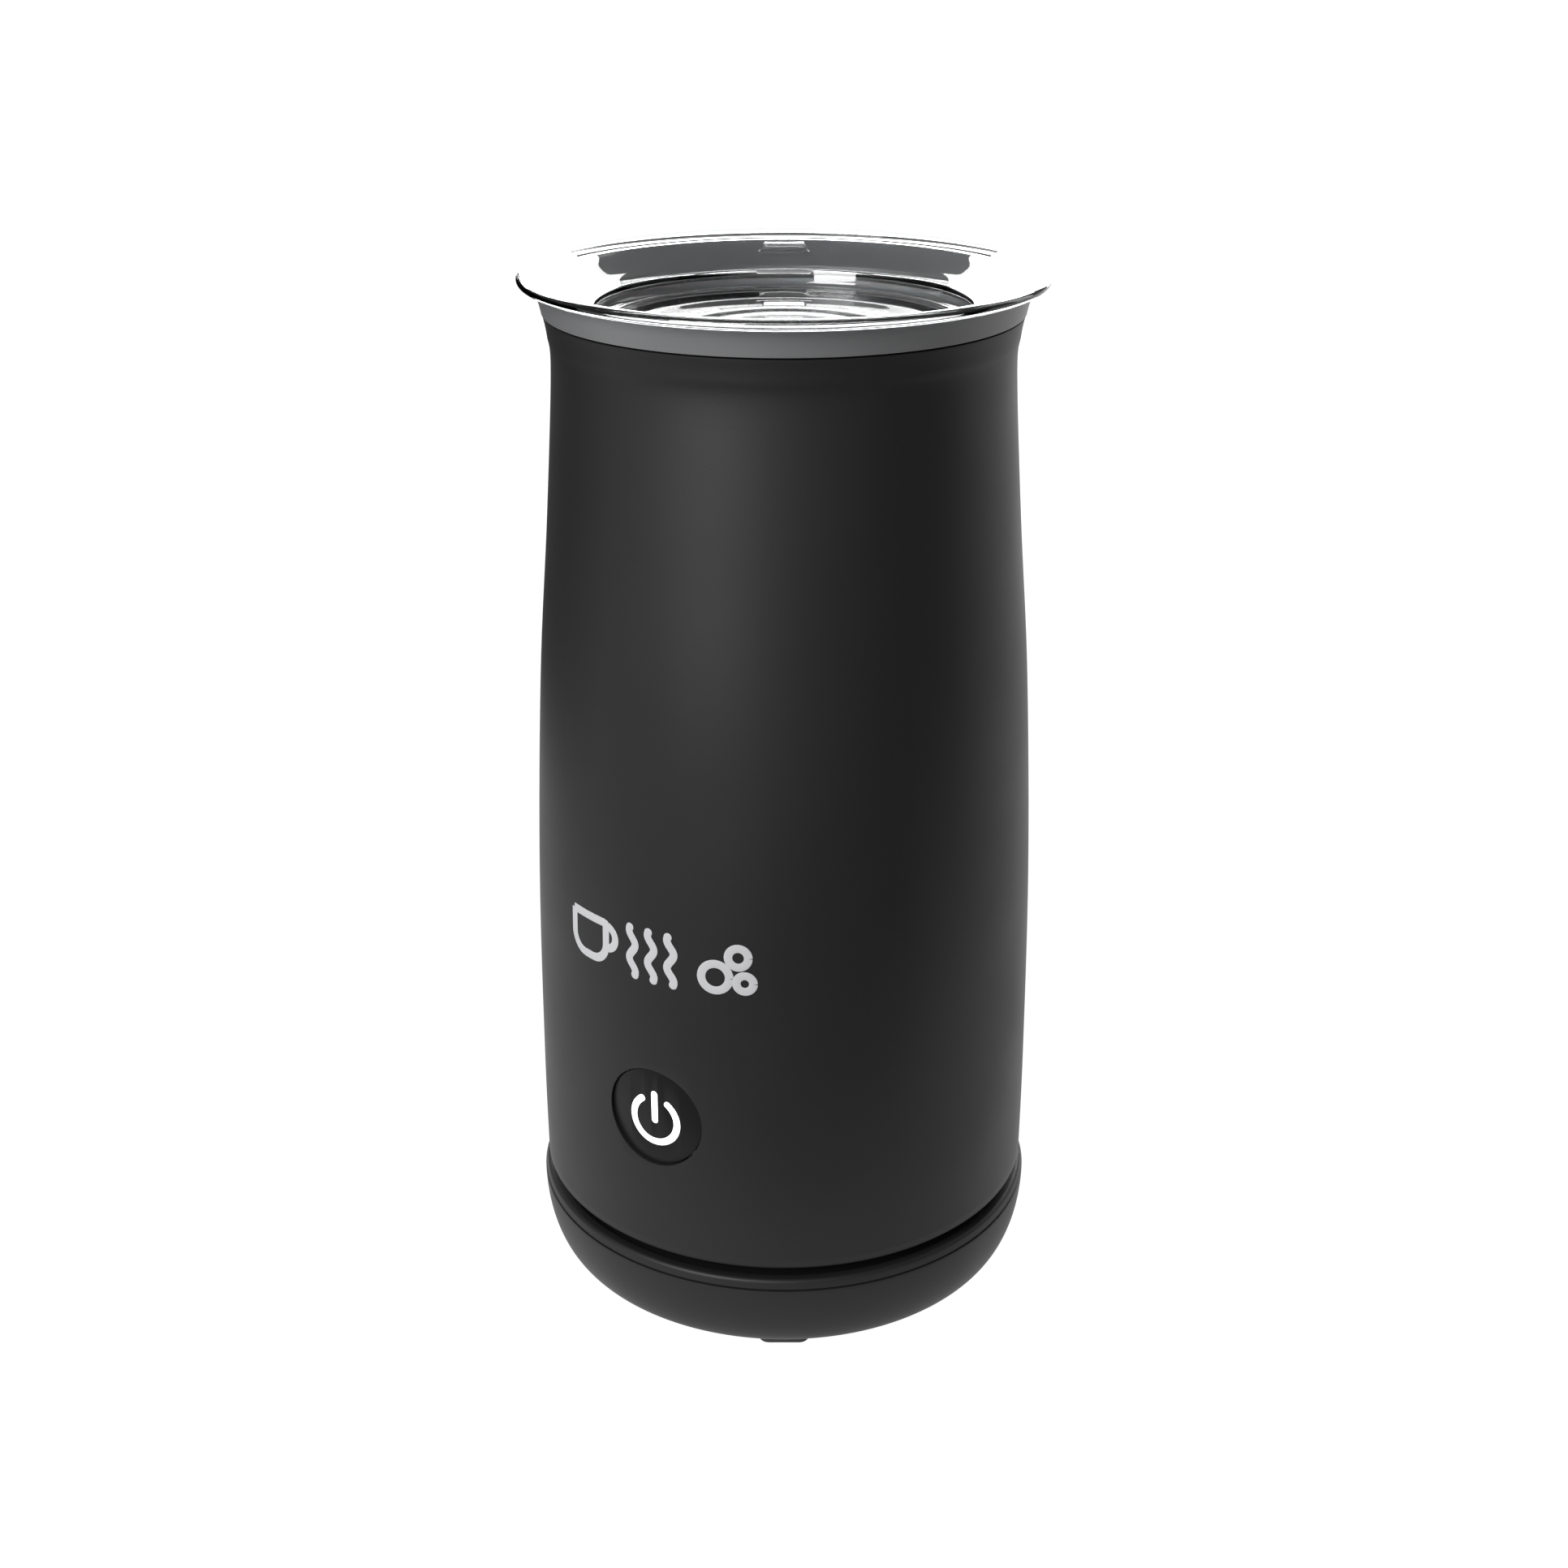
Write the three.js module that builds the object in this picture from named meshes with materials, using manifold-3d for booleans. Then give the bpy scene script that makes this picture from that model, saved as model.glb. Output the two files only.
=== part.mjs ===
// Cordless milk frother: a lift-off jug with a heater and a magnet-driven whisk, on a round power base.
// Millimetres, +Z up. The origin is the centre of the footprint on the table, and the button faces -Y.
// An azimuth is measured in degrees from -Y (the button) towards +X.
import * as THREE from 'three';
import { mergeVertices } from 'three/addons/utils/BufferGeometryUtils.js';
import Module from 'manifold-3d';

const wasm = await Module();
wasm.setup();

// ---------------------------------------------------------------- driving dimensions
// r is a radius about the axis of the piece itself, and radius is a distance from the axis of the jug.
const ROUND = 28; // sides of the large outer shells
const MIDDLE_ROUND = 20; // sides of the inner rings and discs
const SMALL_ROUND = 12; // sides of bushes and posts
const PIN_ROUND = 16; // sides of shafts and pins
const SCREW_ROUND = 8; // sides of screws and the bores that take them
const GAP = 0.3; // air left between two pieces that touch
const WALL = 2.2; // moulded plastic wall
const HEAD_HEIGHT = 1.6; // a pan head, unless a screw says otherwise
const PAST = 2; // how far a cutting shape runs beyond the face that it opens

const BASE = { footHeight: 2.4, cornerR: 44.9, r: 51, seamZ: 17.6, deckZ: 18.6, skirtZ: 14.6 };
const LIP = { r: 50.6, z: 19.8, round: 0.8, width: 2 };
const FOOT = { length: 10, width: 8, corner: 2, radius: 39.9, azimuth: 30, pocket: 1.2 };
const BASE_SCREW = { radius: 34, azimuth: 90, headR: 3, headZ: 3.4, shankR: 1.2, length: 9 };
const BASE_BOSS = { r: 5, topZ: 8, seatZ: 5.3, postR: 4 };
const TURRET = { r: 14.2, flangeR: 18.5, flangeZ: 13.6, topZ: 27.6, pinWellR: 2.6, pinWellZ: 22 };
const CONTACT = { innerRadius: 6.8, outerRadius: 10.6, half: 1, depth: 2.6, jugDepth: 1.8, air: 0.2 };
const CENTRE_PIN = { r: 2.2, tipR: 1.5, shoulderZ: 29.6, topZ: 30.7 };
const TERMINALS = { length: 22, width: 14, height: 7.8, z: 9.3, pitch: 7, way: 4.2 };
const GLAND = { z: 9.8, bodyR: 3.9, boreR: 2.8, flangeR: 4.8, flange: 1.8, fromY: 42.6, toY: 49.9 };
const SOCKET = {
  boreR: 3, innerR: 14.8, outerR: 16.8, flangeR: 20.5, lowZ: 19.4, roofZ: 29.2, flangeZ: 31.4, topZ: 33.6,
};

const SHELL = { bottomZ: 21.9, topZ: 197.6, bottomR: 50.1, neckR: 43, neckZ: 187, topR: 44.1 };
const SHELL_WAIST = [[50.1, 45], [49.4, 86], [47.4, 128], [44.8, 160]]; // [radius, z] between foot and neck
const COLLAR = { innerR: 39.2, rootR: 40.4, lowZ: 188, ledgeZ: 197.95, outerR: 45.5, topZ: 202.6 };
const TRAY = {
  lowZ: 20.4, topZ: 22.8, standInR: 40, standR: 44, rimInR: 45.6, rimR: 47.3, rimZ: 27, sleeveR: 19.6,
};
const TRAY_SCREW = { bossR: 5, bossZ: 25.4, boreR: 1.5, headWellR: 3, headWellZ: 23 };
const CHASSIS = { lowZ: 36, topZ: 38, r: 46, boreR: 12 };
const POSTS = { azimuth: 60, lowRadius: 37, highRadius: 41.5, standoffRadius: 30, standoffAzimuth: 90 };
const POST = { lowR: 4, lowZ: 25.7, highR: 3.4, standoffR: 2.6, boreR: 1.5, boreDepth: 8 };
const BOARD = { z: 42, thickness: 1.6, r: 36, boreR: 8, holeR: 1.4 };
const RELAY = { length: 17, width: 13, height: 13, x: -23, y: 4 };
const CAPACITOR = { r: 5, height: 15.4, x: 20, y: 14 };
const CRADLE = { lowZ: 80, floor: 2.4, wall: 1.6, outerR: 46.2, topZ: 98, cupR: 34.2, ridgeZ: 90 };
const MOTOR = { r: 12, lowZ: 53.5, topZ: 77.5, edge: 1, sheet: 1, shaftR: 1, bushR: 3.2 };
const MOTOR_SCREW = { radius: 7.5, boreR: 1.2 };
const BRACKET = { lowZ: 77.9, topZ: 79.7, r: 20, postR: 2.2, postRadius: 22.3 };
const ARM = { width: 9, length: 28, radius: 31 };
const HEATER = { innerR: 19.5, outerR: 33, lowZ: 85.3, topZ: 88.3 };
const ELEMENT = { ringR: 28, tubeR: 2, z: 82.9, endZ: 71, firstAzimuth: 20, lastAzimuth: 340, bend: 7 };
const SENSOR = { azimuth: 120, radius: 23, r: 2.4, lowZ: 80.6 };
const CUP = { r: 38.2, wall: 0.7, floorZ: 89.4, rimZ: 197, cornerR: 8 };
const CUP_SEAL = { innerR: 39.2, outerR: 40.5, lowZ: 184.5, topZ: 187.7 };
const PIVOT = { baseR: 4.5, r: 1.4, tipR: 0.8, topZ: 97.6 };

const BUTTON = { z: 52.2, r: 10, holeR: 10.3, faceR: 49.5, backY: -46.6, skirt: 2.2, skirtWall: 1.3 };
const SYMBOL = { ringR: 4.85, stroke: 1.4, gapHalfAngle: 36, centreZ: -0.7, barLow: -0.1, barHigh: 5.5 };
const GUIDE = { r: 7.4, thickness: 1.2, stemR: 1.8, stemToY: -43.9 };
const BUTTON_FRAME = { r: 12.4, frontY: -45.5, backY: -40, legWidth: 12, legThickness: 2.2, legHeight: 3.9 };
const BUTTON_BOARD = { width: 27, height: 22, thickness: 1.6, y: -38.5 };
const NOTCH = { r: 1.6, x: 11, z: 8.4 };
const SWITCH = { size: 6.2, thickness: 2.4, y: -40.9, plungerR: 1.6, plungerY: -42.4 };
const LAMP = { width: 3.2, height: 2.4, thickness: 1.4, y: -40.4, z: -6.2, lensR: 0.9, lensY: -41.6 };

const ROTOR = { r: 16.5, lowZ: 80.3, topZ: 85.5, bossR: 5, step: 1.2, magnetR: 3.9, magnetRadius: 10 };
const SHAFT = { lowZ: 55.2, topZ: 84.4 };
const WHISK = { baseZ: 91.2, baseTopZ: 95.7, hubTopZ: 98.2, hubR: 5.2, boreR: 3.3, barWidth: 8 };
const LOBE = { r: 6, spread: 10, floor: 0.8 };
const WHISK_BUSH = { r: 3, boreR: 1.7, lowZ: 90.8, roofZ: 97.9, topZ: 99 };
const COIL = { z: 101.6, ringR: 15.6, rimR: 0.8, r: 2.5, wireR: 0.45, turns: 16 };
const COIL_DETAIL = { sides: 4, stepsPerTurn: 7 };

const LID = { flangeR: 48.6, topZ: 205, wellR: 34.8, wellZ: 195.5, sheet: 1.6, turn: 210 };
const FLANGE = { noseR: 1.2, noseHeight: 1 };
const VENT = { wide: 5.2, narrow: 3.9, halfDepth: 1.7, slope: 30, radius: 42.2, z: 201.45, height: 4 };
const SEAL = { lowZ: 194, ribs: 2, pitch: 1.2, rootWall: 0.7, ribThickness: 0.4 };

// ---------------------------------------------------------------- materials
const finish = (color, roughness, metalness = 0) => ({ color, roughness, metalness });
const BLACK_SATIN = finish(0x2f3032, 0.5);
const BLACK_GLOSS = finish(0x1c1c1e, 0.25);
const GREY_BAND = finish(0x6a6b6d, 0.45);
const CLEAR_COVER = finish(0xe9edf0, 0.06);
const MILK_LIGHT = finish(0xf6f7f8, 0.4);
const RUBBER = finish(0x242424, 0.85);
const SILICONE = finish(0xc9ccce, 0.6);
const NYLON = finish(0xb9b7af, 0.6);
const STEEL = finish(0xb8bbbe, 0.3, 1);
const COATED_STEEL = finish(0x3b3d40, 0.45, 0.4);
const ALUMINIUM = finish(0xc4c7ca, 0.4, 1);
const BRASS = finish(0xc8a455, 0.3, 1);
const MAGNET = finish(0x8d9196, 0.35, 1);
const BOARD_GREEN = finish(0x1f5a3a, 0.5);
const DARK_COMPONENT = finish(0x1e2328, 0.55);

// ---------------------------------------------------------------- solids and joins
const radians = THREE.MathUtils.degToRad;

function polar(azimuth, radius) {
  const angle = radians(azimuth);
  return [radius * Math.sin(angle), -radius * Math.cos(angle)];
}

// A three.js geometry with shared corners merged and empty triangles left out.
function welded(geometry) {
  const bare = geometry.clone();
  bare.deleteAttribute('normal');
  bare.deleteAttribute('uv');
  const merged = mergeVertices(bare, 1e-4);
  const corners = merged.getIndex().array;
  const kept = [];
  for (let i = 0; i < corners.length; i += 3) {
    const [a, b, c] = corners.slice(i, i + 3);
    if (a !== b && b !== c && c !== a) kept.push(a, b, c);
  }
  merged.setIndex(kept);
  return merged;
}

function toSolid(geometry) {
  const shape = welded(geometry);
  const vertProperties = Float32Array.from(shape.attributes.position.array);
  const triVerts = Uint32Array.from(shape.getIndex().array);
  return new wasm.Manifold(new wasm.Mesh({ numProp: 3, vertProperties, triVerts }));
}

function toGeometry(solid) {
  const result = solid.getMesh();
  const geometry = new THREE.BufferGeometry();
  geometry.setAttribute('position', new THREE.BufferAttribute(result.vertProperties, 3));
  geometry.setIndex(new THREE.BufferAttribute(result.triVerts, 1));
  geometry.computeVertexNormals();
  return geometry;
}

// The start shape, with pieces joined to it and then other pieces cut from it.
function worked(start, joined = [], cut = []) {
  let solid = toSolid(start);
  for (const piece of joined) solid = solid.add(toSolid(piece));
  for (const piece of cut) solid = solid.subtract(toSolid(piece));
  return toGeometry(solid);
}

// A body of revolution about Z from [radius, z] points, closed on the axis or on itself.
function turned(points, sides = ROUND) {
  const outline = points.map(([r, z]) => new THREE.Vector2(r, z));
  const onAxis = outline[0].x === 0 && outline[outline.length - 1].x === 0;
  if (THREE.ShapeUtils.area(outline) < 0) outline.reverse();
  if (!onAxis) outline.push(outline[0].clone());
  return welded(new THREE.LatheGeometry(outline, sides).rotateX(Math.PI / 2));
}

const ring = (innerR, outerR, lowZ, topZ, sides = SMALL_ROUND) =>
  turned([[innerR, lowZ], [outerR, lowZ], [outerR, topZ], [innerR, topZ]], sides);

const post = (r, lowZ, topZ, sides = SMALL_ROUND) =>
  turned([[0, lowZ], [r, lowZ], [r, topZ], [0, topZ]], sides);

function block(sizeX, sizeY, sizeZ, x = 0, y = 0, z = 0) {
  return new THREE.BoxGeometry(sizeX, sizeY, sizeZ).translate(x, y, z);
}

// A disc or rod whose axis runs along Y, between two y values.
const rodAlongY = (r, fromY, toY, sides = SMALL_ROUND) =>
  new THREE.CylinderGeometry(r, r, toY - fromY, sides).translate(0, (fromY + toY) / 2, 0);

function arcPoints(centre, radiusR, radiusZ, fromDeg, toDeg, count) {
  const points = [];
  for (let i = 0; i <= count; i++) {
    const angle = radians(fromDeg + (toDeg - fromDeg) * i / count);
    points.push([centre[0] + radiusR * Math.cos(angle), centre[1] + radiusZ * Math.sin(angle)]);
  }
  return points;
}

// Copies of one shape on a circle round Z, evenly spaced from the first azimuth.
function around(makeShape, radius, azimuth, count = 3) {
  return Array.from({ length: count }, (_, i) => {
    const [x, y] = polar(azimuth + i * 360 / count, radius);
    return makeShape().translate(x, y, 0);
  });
}

function roundedPlate(length, width, corner, height) {
  const [a, b] = [length / 2 - corner, width / 2 - corner];
  const shape = new THREE.Shape();
  shape.absarc(a, b, corner, 0, Math.PI / 2);
  shape.absarc(-a, b, corner, Math.PI / 2, Math.PI);
  shape.absarc(-a, -b, corner, Math.PI, 1.5 * Math.PI);
  shape.absarc(a, -b, corner, 1.5 * Math.PI, 2 * Math.PI);
  shape.closePath();
  return new THREE.ExtrudeGeometry(shape, { depth: height, bevelEnabled: false, curveSegments: 3 });
}

function tubeAlong(path, radius, steps, sides) {
  const section = new THREE.Shape();
  for (let i = 0; i < sides; i++) {
    const angle = 2 * Math.PI * i / sides;
    section[i === 0 ? 'moveTo' : 'lineTo'](radius * Math.cos(angle), radius * Math.sin(angle));
  }
  return new THREE.ExtrudeGeometry(section, { steps, bevelEnabled: false, extrudePath: path });
}

function piece(name, geometry, material) {
  const mesh = new THREE.Mesh(geometry, new THREE.MeshStandardMaterial(material));
  mesh.name = name;
  return mesh;
}

function assembly(...members) {
  const group = new THREE.Group();
  group.add(...members.flat());
  return group;
}

// Named copies of one piece on a circle round Z.
function repeated(name, geometry, material, radius, azimuth, count = 3) {
  return Array.from({ length: count }, (_, i) => {
    const copy = piece(`${name}_${i + 1}`, geometry, material);
    const turn = azimuth + i * 360 / count;
    const [x, y] = polar(turn, radius);
    copy.position.set(x, y, 0);
    copy.rotation.z = radians(turn);
    return copy;
  });
}

// A pan-head screw with a cross recess, driven upwards from its head at headZ.
function screw({ headR, shankR, headZ, headHeight = HEAD_HEIGHT, length }) {
  const [slotLength, slotWidth, slotHeight, point] = [headR * 1.1, headR * 0.3, 1.2, 0.6];
  const body = turned([
    [0, headZ], [headR, headZ], [headR, headZ + headHeight], [shankR, headZ + headHeight],
    [shankR, headZ + length - point], [0, headZ + length],
  ], SCREW_ROUND);
  const cross = [
    block(slotLength, slotWidth, slotHeight, 0, 0, headZ),
    block(slotWidth, slotLength, slotHeight, 0, 0, headZ),
  ];
  return worked(body, [], cross);
}

// The same screw driven downwards, with the top of its head at headTopZ.
const screwDown = (size, headTopZ) =>
  screw({ ...size, headZ: 0 }).rotateX(Math.PI).translate(0, 0, headTopZ);

// ---------------------------------------------------------------- power base
const atBaseScrews = (r, lowZ, topZ, sides) =>
  around(() => post(r, lowZ, topZ, sides), BASE_SCREW.radius, BASE_SCREW.azimuth);

function baseBowl() {
  const { footHeight, cornerR, r, seamZ } = BASE;
  const outside = arcPoints([cornerR, seamZ], r - cornerR, seamZ - footHeight, -90, 0, 5);
  const inside = arcPoints([cornerR, seamZ], r - cornerR - WALL, seamZ - footHeight - WALL, 0, -90, 3);
  const bowl = turned([[0, footHeight], ...outside, ...inside, [0, footHeight + WALL]]);
  const bosses = atBaseScrews(BASE_BOSS.r, footHeight + WALL / 2, BASE_BOSS.topZ);
  const bores = atBaseScrews(BASE_SCREW.shankR + GAP, footHeight - PAST, BASE_BOSS.topZ + PAST, SCREW_ROUND);
  const heads = atBaseScrews(BASE_SCREW.headR + GAP, footHeight - PAST, BASE_BOSS.seatZ, SCREW_ROUND);
  const [length, width, corner] = [FOOT.length + 2 * GAP, FOOT.width + 2 * GAP, FOOT.corner + GAP];
  const pockets = [0, 120, 240].map((turn) => {
    const [x, y] = polar(FOOT.azimuth + turn, FOOT.radius);
    const pocket = roundedPlate(length, width, corner, footHeight + FOOT.pocket);
    return pocket.rotateZ(radians(FOOT.azimuth + turn)).translate(x, y, 0);
  });
  const cordHole = rodAlongY(GLAND.bodyR + GAP, GLAND.fromY - PAST, r + PAST).translate(0, 0, GLAND.z);
  return worked(bowl, bosses, [...bores, ...heads, ...pockets, cordHole]);
}

function baseTopCover() {
  const { r, seamZ, deckZ, skirtZ } = BASE;
  const [lowZ, deckLow, clearance] = [seamZ + GAP, deckZ - WALL, 0.4];
  const lip = arcPoints([LIP.r - LIP.round, LIP.z - LIP.round], LIP.round, LIP.round, 0, 90, 3);
  const skirtR = r - WALL - clearance;
  const cover = turned([
    [skirtR, skirtZ], [skirtR, lowZ], [r - 0.2, lowZ], ...lip,
    [LIP.r - LIP.width, LIP.z], [LIP.r - LIP.width - 0.6, deckZ], [TURRET.r + clearance, deckZ],
    [TURRET.r + clearance, deckLow], [skirtR - WALL, deckLow], [skirtR - WALL, skirtZ],
  ]);
  const posts = atBaseScrews(BASE_BOSS.postR, BASE_BOSS.topZ + GAP, deckLow + WALL / 2);
  const bores = atBaseScrews(BASE_SCREW.shankR + GAP, BASE_BOSS.topZ - PAST, skirtZ, SCREW_ROUND);
  return worked(cover, posts, bores);
}

// The round plug that stands up through the deck, with two grooves for its contact rings and a well
// for its centre pin.
function baseConnector() {
  const { r, flangeR, flangeZ, topZ, pinWellR, pinWellZ } = TURRET;
  const { innerRadius, outerRadius, half, depth } = CONTACT;
  const [deckLow, edge] = [BASE.deckZ - WALL - GAP, 0.8];
  const groove = (radius) => [
    [radius + half, topZ], [radius + half, topZ - depth],
    [radius - half, topZ - depth], [radius - half, topZ],
  ];
  return turned([
    [0, flangeZ], [flangeR, flangeZ], [flangeR, deckLow], [r, deckLow], [r, topZ - edge], [r - edge, topZ],
    ...groove(outerRadius), ...groove(innerRadius), [pinWellR, topZ], [pinWellR, pinWellZ], [0, pinWellZ],
  ], MIDDLE_ROUND);
}

function contactRing(radius, lowZ, topZ) {
  const half = CONTACT.half - GAP;
  return ring(radius - half, radius + half, lowZ, topZ, MIDDLE_ROUND);
}

const baseContact = (radius) =>
  contactRing(radius, TURRET.topZ - CONTACT.depth + GAP, TURRET.topZ - CONTACT.air);

function centrePin() {
  const { r, tipR, shoulderZ, topZ } = CENTRE_PIN;
  const lowZ = TURRET.pinWellZ + GAP;
  return turned([[0, lowZ], [r, lowZ], [r, shoulderZ], [tipR, topZ - GAP], [0, topZ]], PIN_ROUND);
}

// A block with three square ways that open towards the cord.
function terminalBlock() {
  const { length, width, height, z, pitch, way } = TERMINALS;
  const ways = [-pitch, 0, pitch].map((x) => block(way, width, way, x, width / 2 - 3, z - GAP));
  return worked(block(length, width, height, 0, 0, z), [], ways);
}

const foot = () =>
  roundedPlate(FOOT.length, FOOT.width, FOOT.corner, BASE.footHeight + FOOT.pocket - GAP);

// The bush in the back wall that the supply lead would pass through.
function cordGland() {
  const { z, bodyR, boreR, flangeR, flange, fromY, toY } = GLAND;
  const outline = [
    [boreR, fromY], [flangeR, fromY], [flangeR, fromY + flange], [bodyR, fromY + flange],
    [bodyR, toY], [boreR, toY],
  ];
  return turned(outline, SMALL_ROUND).rotateX(-Math.PI / 2).translate(0, 0, z);
}

// ---------------------------------------------------------------- rings of posts inside the jug
const atLowPosts = (r, lowZ, topZ, sides) =>
  around(() => post(r, lowZ, topZ, sides), POSTS.lowRadius, POSTS.azimuth);

const atHighPosts = (r, lowZ, topZ, sides) =>
  around(() => post(r, lowZ, topZ, sides), POSTS.highRadius, POSTS.azimuth);

const atStandoffs = (r, lowZ, topZ, sides) =>
  around(() => post(r, lowZ, topZ, sides), POSTS.standoffRadius, POSTS.standoffAzimuth);

// ---------------------------------------------------------------- jug connector
function jugConnector() {
  const { boreR, innerR, outerR, lowZ, roofZ, flangeZ, topZ, flangeR } = SOCKET;
  const { innerRadius, outerRadius, half, jugDepth } = CONTACT;
  const groove = (radius) => [
    [radius - half, roofZ], [radius - half, roofZ + jugDepth],
    [radius + half, roofZ + jugDepth], [radius + half, roofZ],
  ];
  return turned([
    [boreR, roofZ], ...groove(innerRadius), ...groove(outerRadius), [innerR, roofZ], [innerR, lowZ],
    [outerR, lowZ], [outerR, flangeZ], [flangeR, flangeZ], [flangeR, topZ], [boreR, topZ],
  ], MIDDLE_ROUND);
}

const jugContact = (radius) =>
  contactRing(radius, TURRET.topZ + GAP, SOCKET.roofZ + CONTACT.jugDepth - GAP);

// ---------------------------------------------------------------- jug shells
// The outer line of the jug from its foot to the collar: upright low down, drawn in to the neck, then flared.
function shellCurve() {
  const { bottomZ, topZ, bottomR, neckR, neckZ, topR } = SHELL;
  const flare = [(neckR * 3 + topR * 2) / 5, neckZ + 7];
  const points = [[bottomR, bottomZ + 0.8], ...SHELL_WAIST, [neckR, neckZ], flare, [topR, topZ]];
  return new THREE.SplineCurve(points.map(([r, z]) => new THREE.Vector2(r, z)));
}

function outerShell() {
  const line = shellCurve().getPoints(8).map(({ x, y }) => [x, y]);
  const outside = [[SHELL.bottomR - 0.8, SHELL.bottomZ], ...line];
  const inside = line.map(([r, z]) => [r - WALL, z]).reverse();
  inside[inside.length - 1][1] = SHELL.bottomZ;
  const hole = rodAlongY(BUTTON.holeR, -60, -40, MIDDLE_ROUND).translate(0, 0, BUTTON.z);
  return worked(turned([...outside, ...inside]), [], [hole]);
}

// The band under the lid, with a lip that flares out below the lid's flange.
function collar() {
  const { innerR, rootR, lowZ, ledgeZ, outerR, topZ } = COLLAR;
  return turned([
    [rootR, lowZ], [rootR, ledgeZ], [outerR - 1.15, ledgeZ], [outerR - 0.75, topZ - 2.7], [outerR, topZ],
    [outerR - 0.5, topZ - 0.2], [outerR - 1.3, topZ - 0.9], [innerR, topZ - 4.4], [innerR, lowZ],
  ]);
}

function innerCup() {
  const { r, wall, floorZ, rimZ, cornerR } = CUP;
  const cornerZ = floorZ + cornerR;
  const outerCorner = arcPoints([r - cornerR, cornerZ], cornerR + wall, cornerR + wall, -90, 0, 4);
  const innerCorner = arcPoints([r - cornerR, cornerZ], cornerR, cornerR, 0, -90, 4);
  return turned([
    [0, floorZ - wall], ...outerCorner, [r + wall, rimZ], [r, rimZ], ...innerCorner, [0, floorZ],
  ]);
}

const cupRimSeal = () => ring(CUP_SEAL.innerR, CUP_SEAL.outerR, CUP_SEAL.lowZ, CUP_SEAL.topZ, ROUND);

// The tray that closes the jug underneath, with the ring it stands on and a sleeve round the connector.
function bottomCover() {
  const { lowZ, topZ, standInR, standR, rimInR, rimR, rimZ, sleeveR } = TRAY;
  const [boreR, standZ, sleeveZ, edge] = [SOCKET.outerR + 0.5, BASE.deckZ + GAP, SOCKET.flangeZ - GAP, 0.7];
  const cover = turned([
    [boreR, lowZ], [standInR, lowZ], [standInR, standZ], [standR, standZ], [standR, lowZ],
    [rimR - edge, lowZ], [rimR, lowZ + edge], [rimR, rimZ], [rimInR, rimZ], [rimInR, topZ], [sleeveR, topZ],
    [sleeveR, sleeveZ], [boreR, sleeveZ],
  ], MIDDLE_ROUND);
  const { bossR, bossZ, boreR: screwR, headWellR, headWellZ } = TRAY_SCREW;
  const bosses = atLowPosts(bossR, lowZ, bossZ);
  const bores = atLowPosts(screwR, lowZ - PAST, bossZ + PAST, SCREW_ROUND);
  const heads = atLowPosts(headWellR, lowZ - PAST, headWellZ, SCREW_ROUND);
  return worked(cover, bosses, [...bores, ...heads]);
}

// ---------------------------------------------------------------- jug inner works
// A round plate with three posts down to the tray, three up to the motor bracket and three for the board.
function chassis() {
  const { lowZ, topZ, r, boreR } = CHASSIS;
  const flangeLow = SOCKET.topZ + GAP;
  const plate = turned([
    [boreR, flangeLow], [SOCKET.flangeR, flangeLow], [SOCKET.flangeR, lowZ], [r, lowZ],
    [r, topZ], [boreR, topZ],
  ], MIDDLE_ROUND);
  const lowPosts = atLowPosts(POST.lowR, POST.lowZ, lowZ + 1);
  const highPosts = atHighPosts(POST.highR, topZ - 1, BRACKET.lowZ - GAP);
  const standoffs = atStandoffs(POST.standoffR, topZ - 1, BOARD.z - GAP);
  const lowBores = atLowPosts(POST.boreR, POST.lowZ - PAST, POST.lowZ + POST.boreDepth, SCREW_ROUND);
  const highBoreZ = BRACKET.lowZ - 1.5 * POST.boreDepth;
  const highBores = atHighPosts(POST.boreR, highBoreZ, BRACKET.lowZ + PAST, SCREW_ROUND);
  return worked(plate, [...lowPosts, ...highPosts, ...standoffs], [...lowBores, ...highBores]);
}

function mainBoard() {
  const { z, thickness, r, boreR, holeR } = BOARD;
  const board = ring(boreR, r, z, z + thickness, MIDDLE_ROUND);
  return worked(board, [], atStandoffs(holeR, z - PAST, z + thickness + PAST, SCREW_ROUND));
}

const ON_BOARD = BOARD.z + BOARD.thickness + GAP;

// A sealed relay with a shallow mould line across its top.
function relay() {
  const { length, width, height, x, y } = RELAY;
  const line = block(length + PAST, 0.8, 0.8, x, y - width / 2, ON_BOARD + height);
  return worked(block(length, width, height, x, y, ON_BOARD + height / 2), [], [line]);
}

// A can capacitor with a rolled groove near its foot.
function capacitor() {
  const { r, height, x, y } = CAPACITOR;
  const grooveZ = ON_BOARD + 2;
  return turned([
    [0, ON_BOARD], [r, ON_BOARD], [r, grooveZ - 0.4], [r - 0.3, grooveZ], [r, grooveZ + 0.4],
    [r, ON_BOARD + height - 0.4], [r - 0.4, ON_BOARD + height], [0, ON_BOARD + height],
  ], MIDDLE_ROUND).translate(x, y, 0);
}

// The ring that carries the cup: a floor, an outer wall and an inner ridge that the cup's corner sits in.
function cupCradle() {
  const { lowZ, floor, wall, outerR, topZ, cupR, ridgeZ } = CRADLE;
  const floorZ = lowZ + floor;
  const cradle = turned([
    [cupR, lowZ], [outerR, lowZ], [outerR, topZ], [outerR - wall, topZ], [outerR - wall, floorZ],
    [CUP.r - 0.2, floorZ], [CUP.r - 1.8, ridgeZ], [cupR, ridgeZ - 1.4],
  ], MIDDLE_ROUND);
  return worked(cradle, [], atHighPosts(POST.boreR, lowZ - PAST, lowZ + floor + PAST, SCREW_ROUND));
}

const atMotorScrews = (r, lowZ, topZ) =>
  around(() => post(r, lowZ, topZ, SCREW_ROUND), MOTOR_SCREW.radius, 0, 2);

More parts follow.
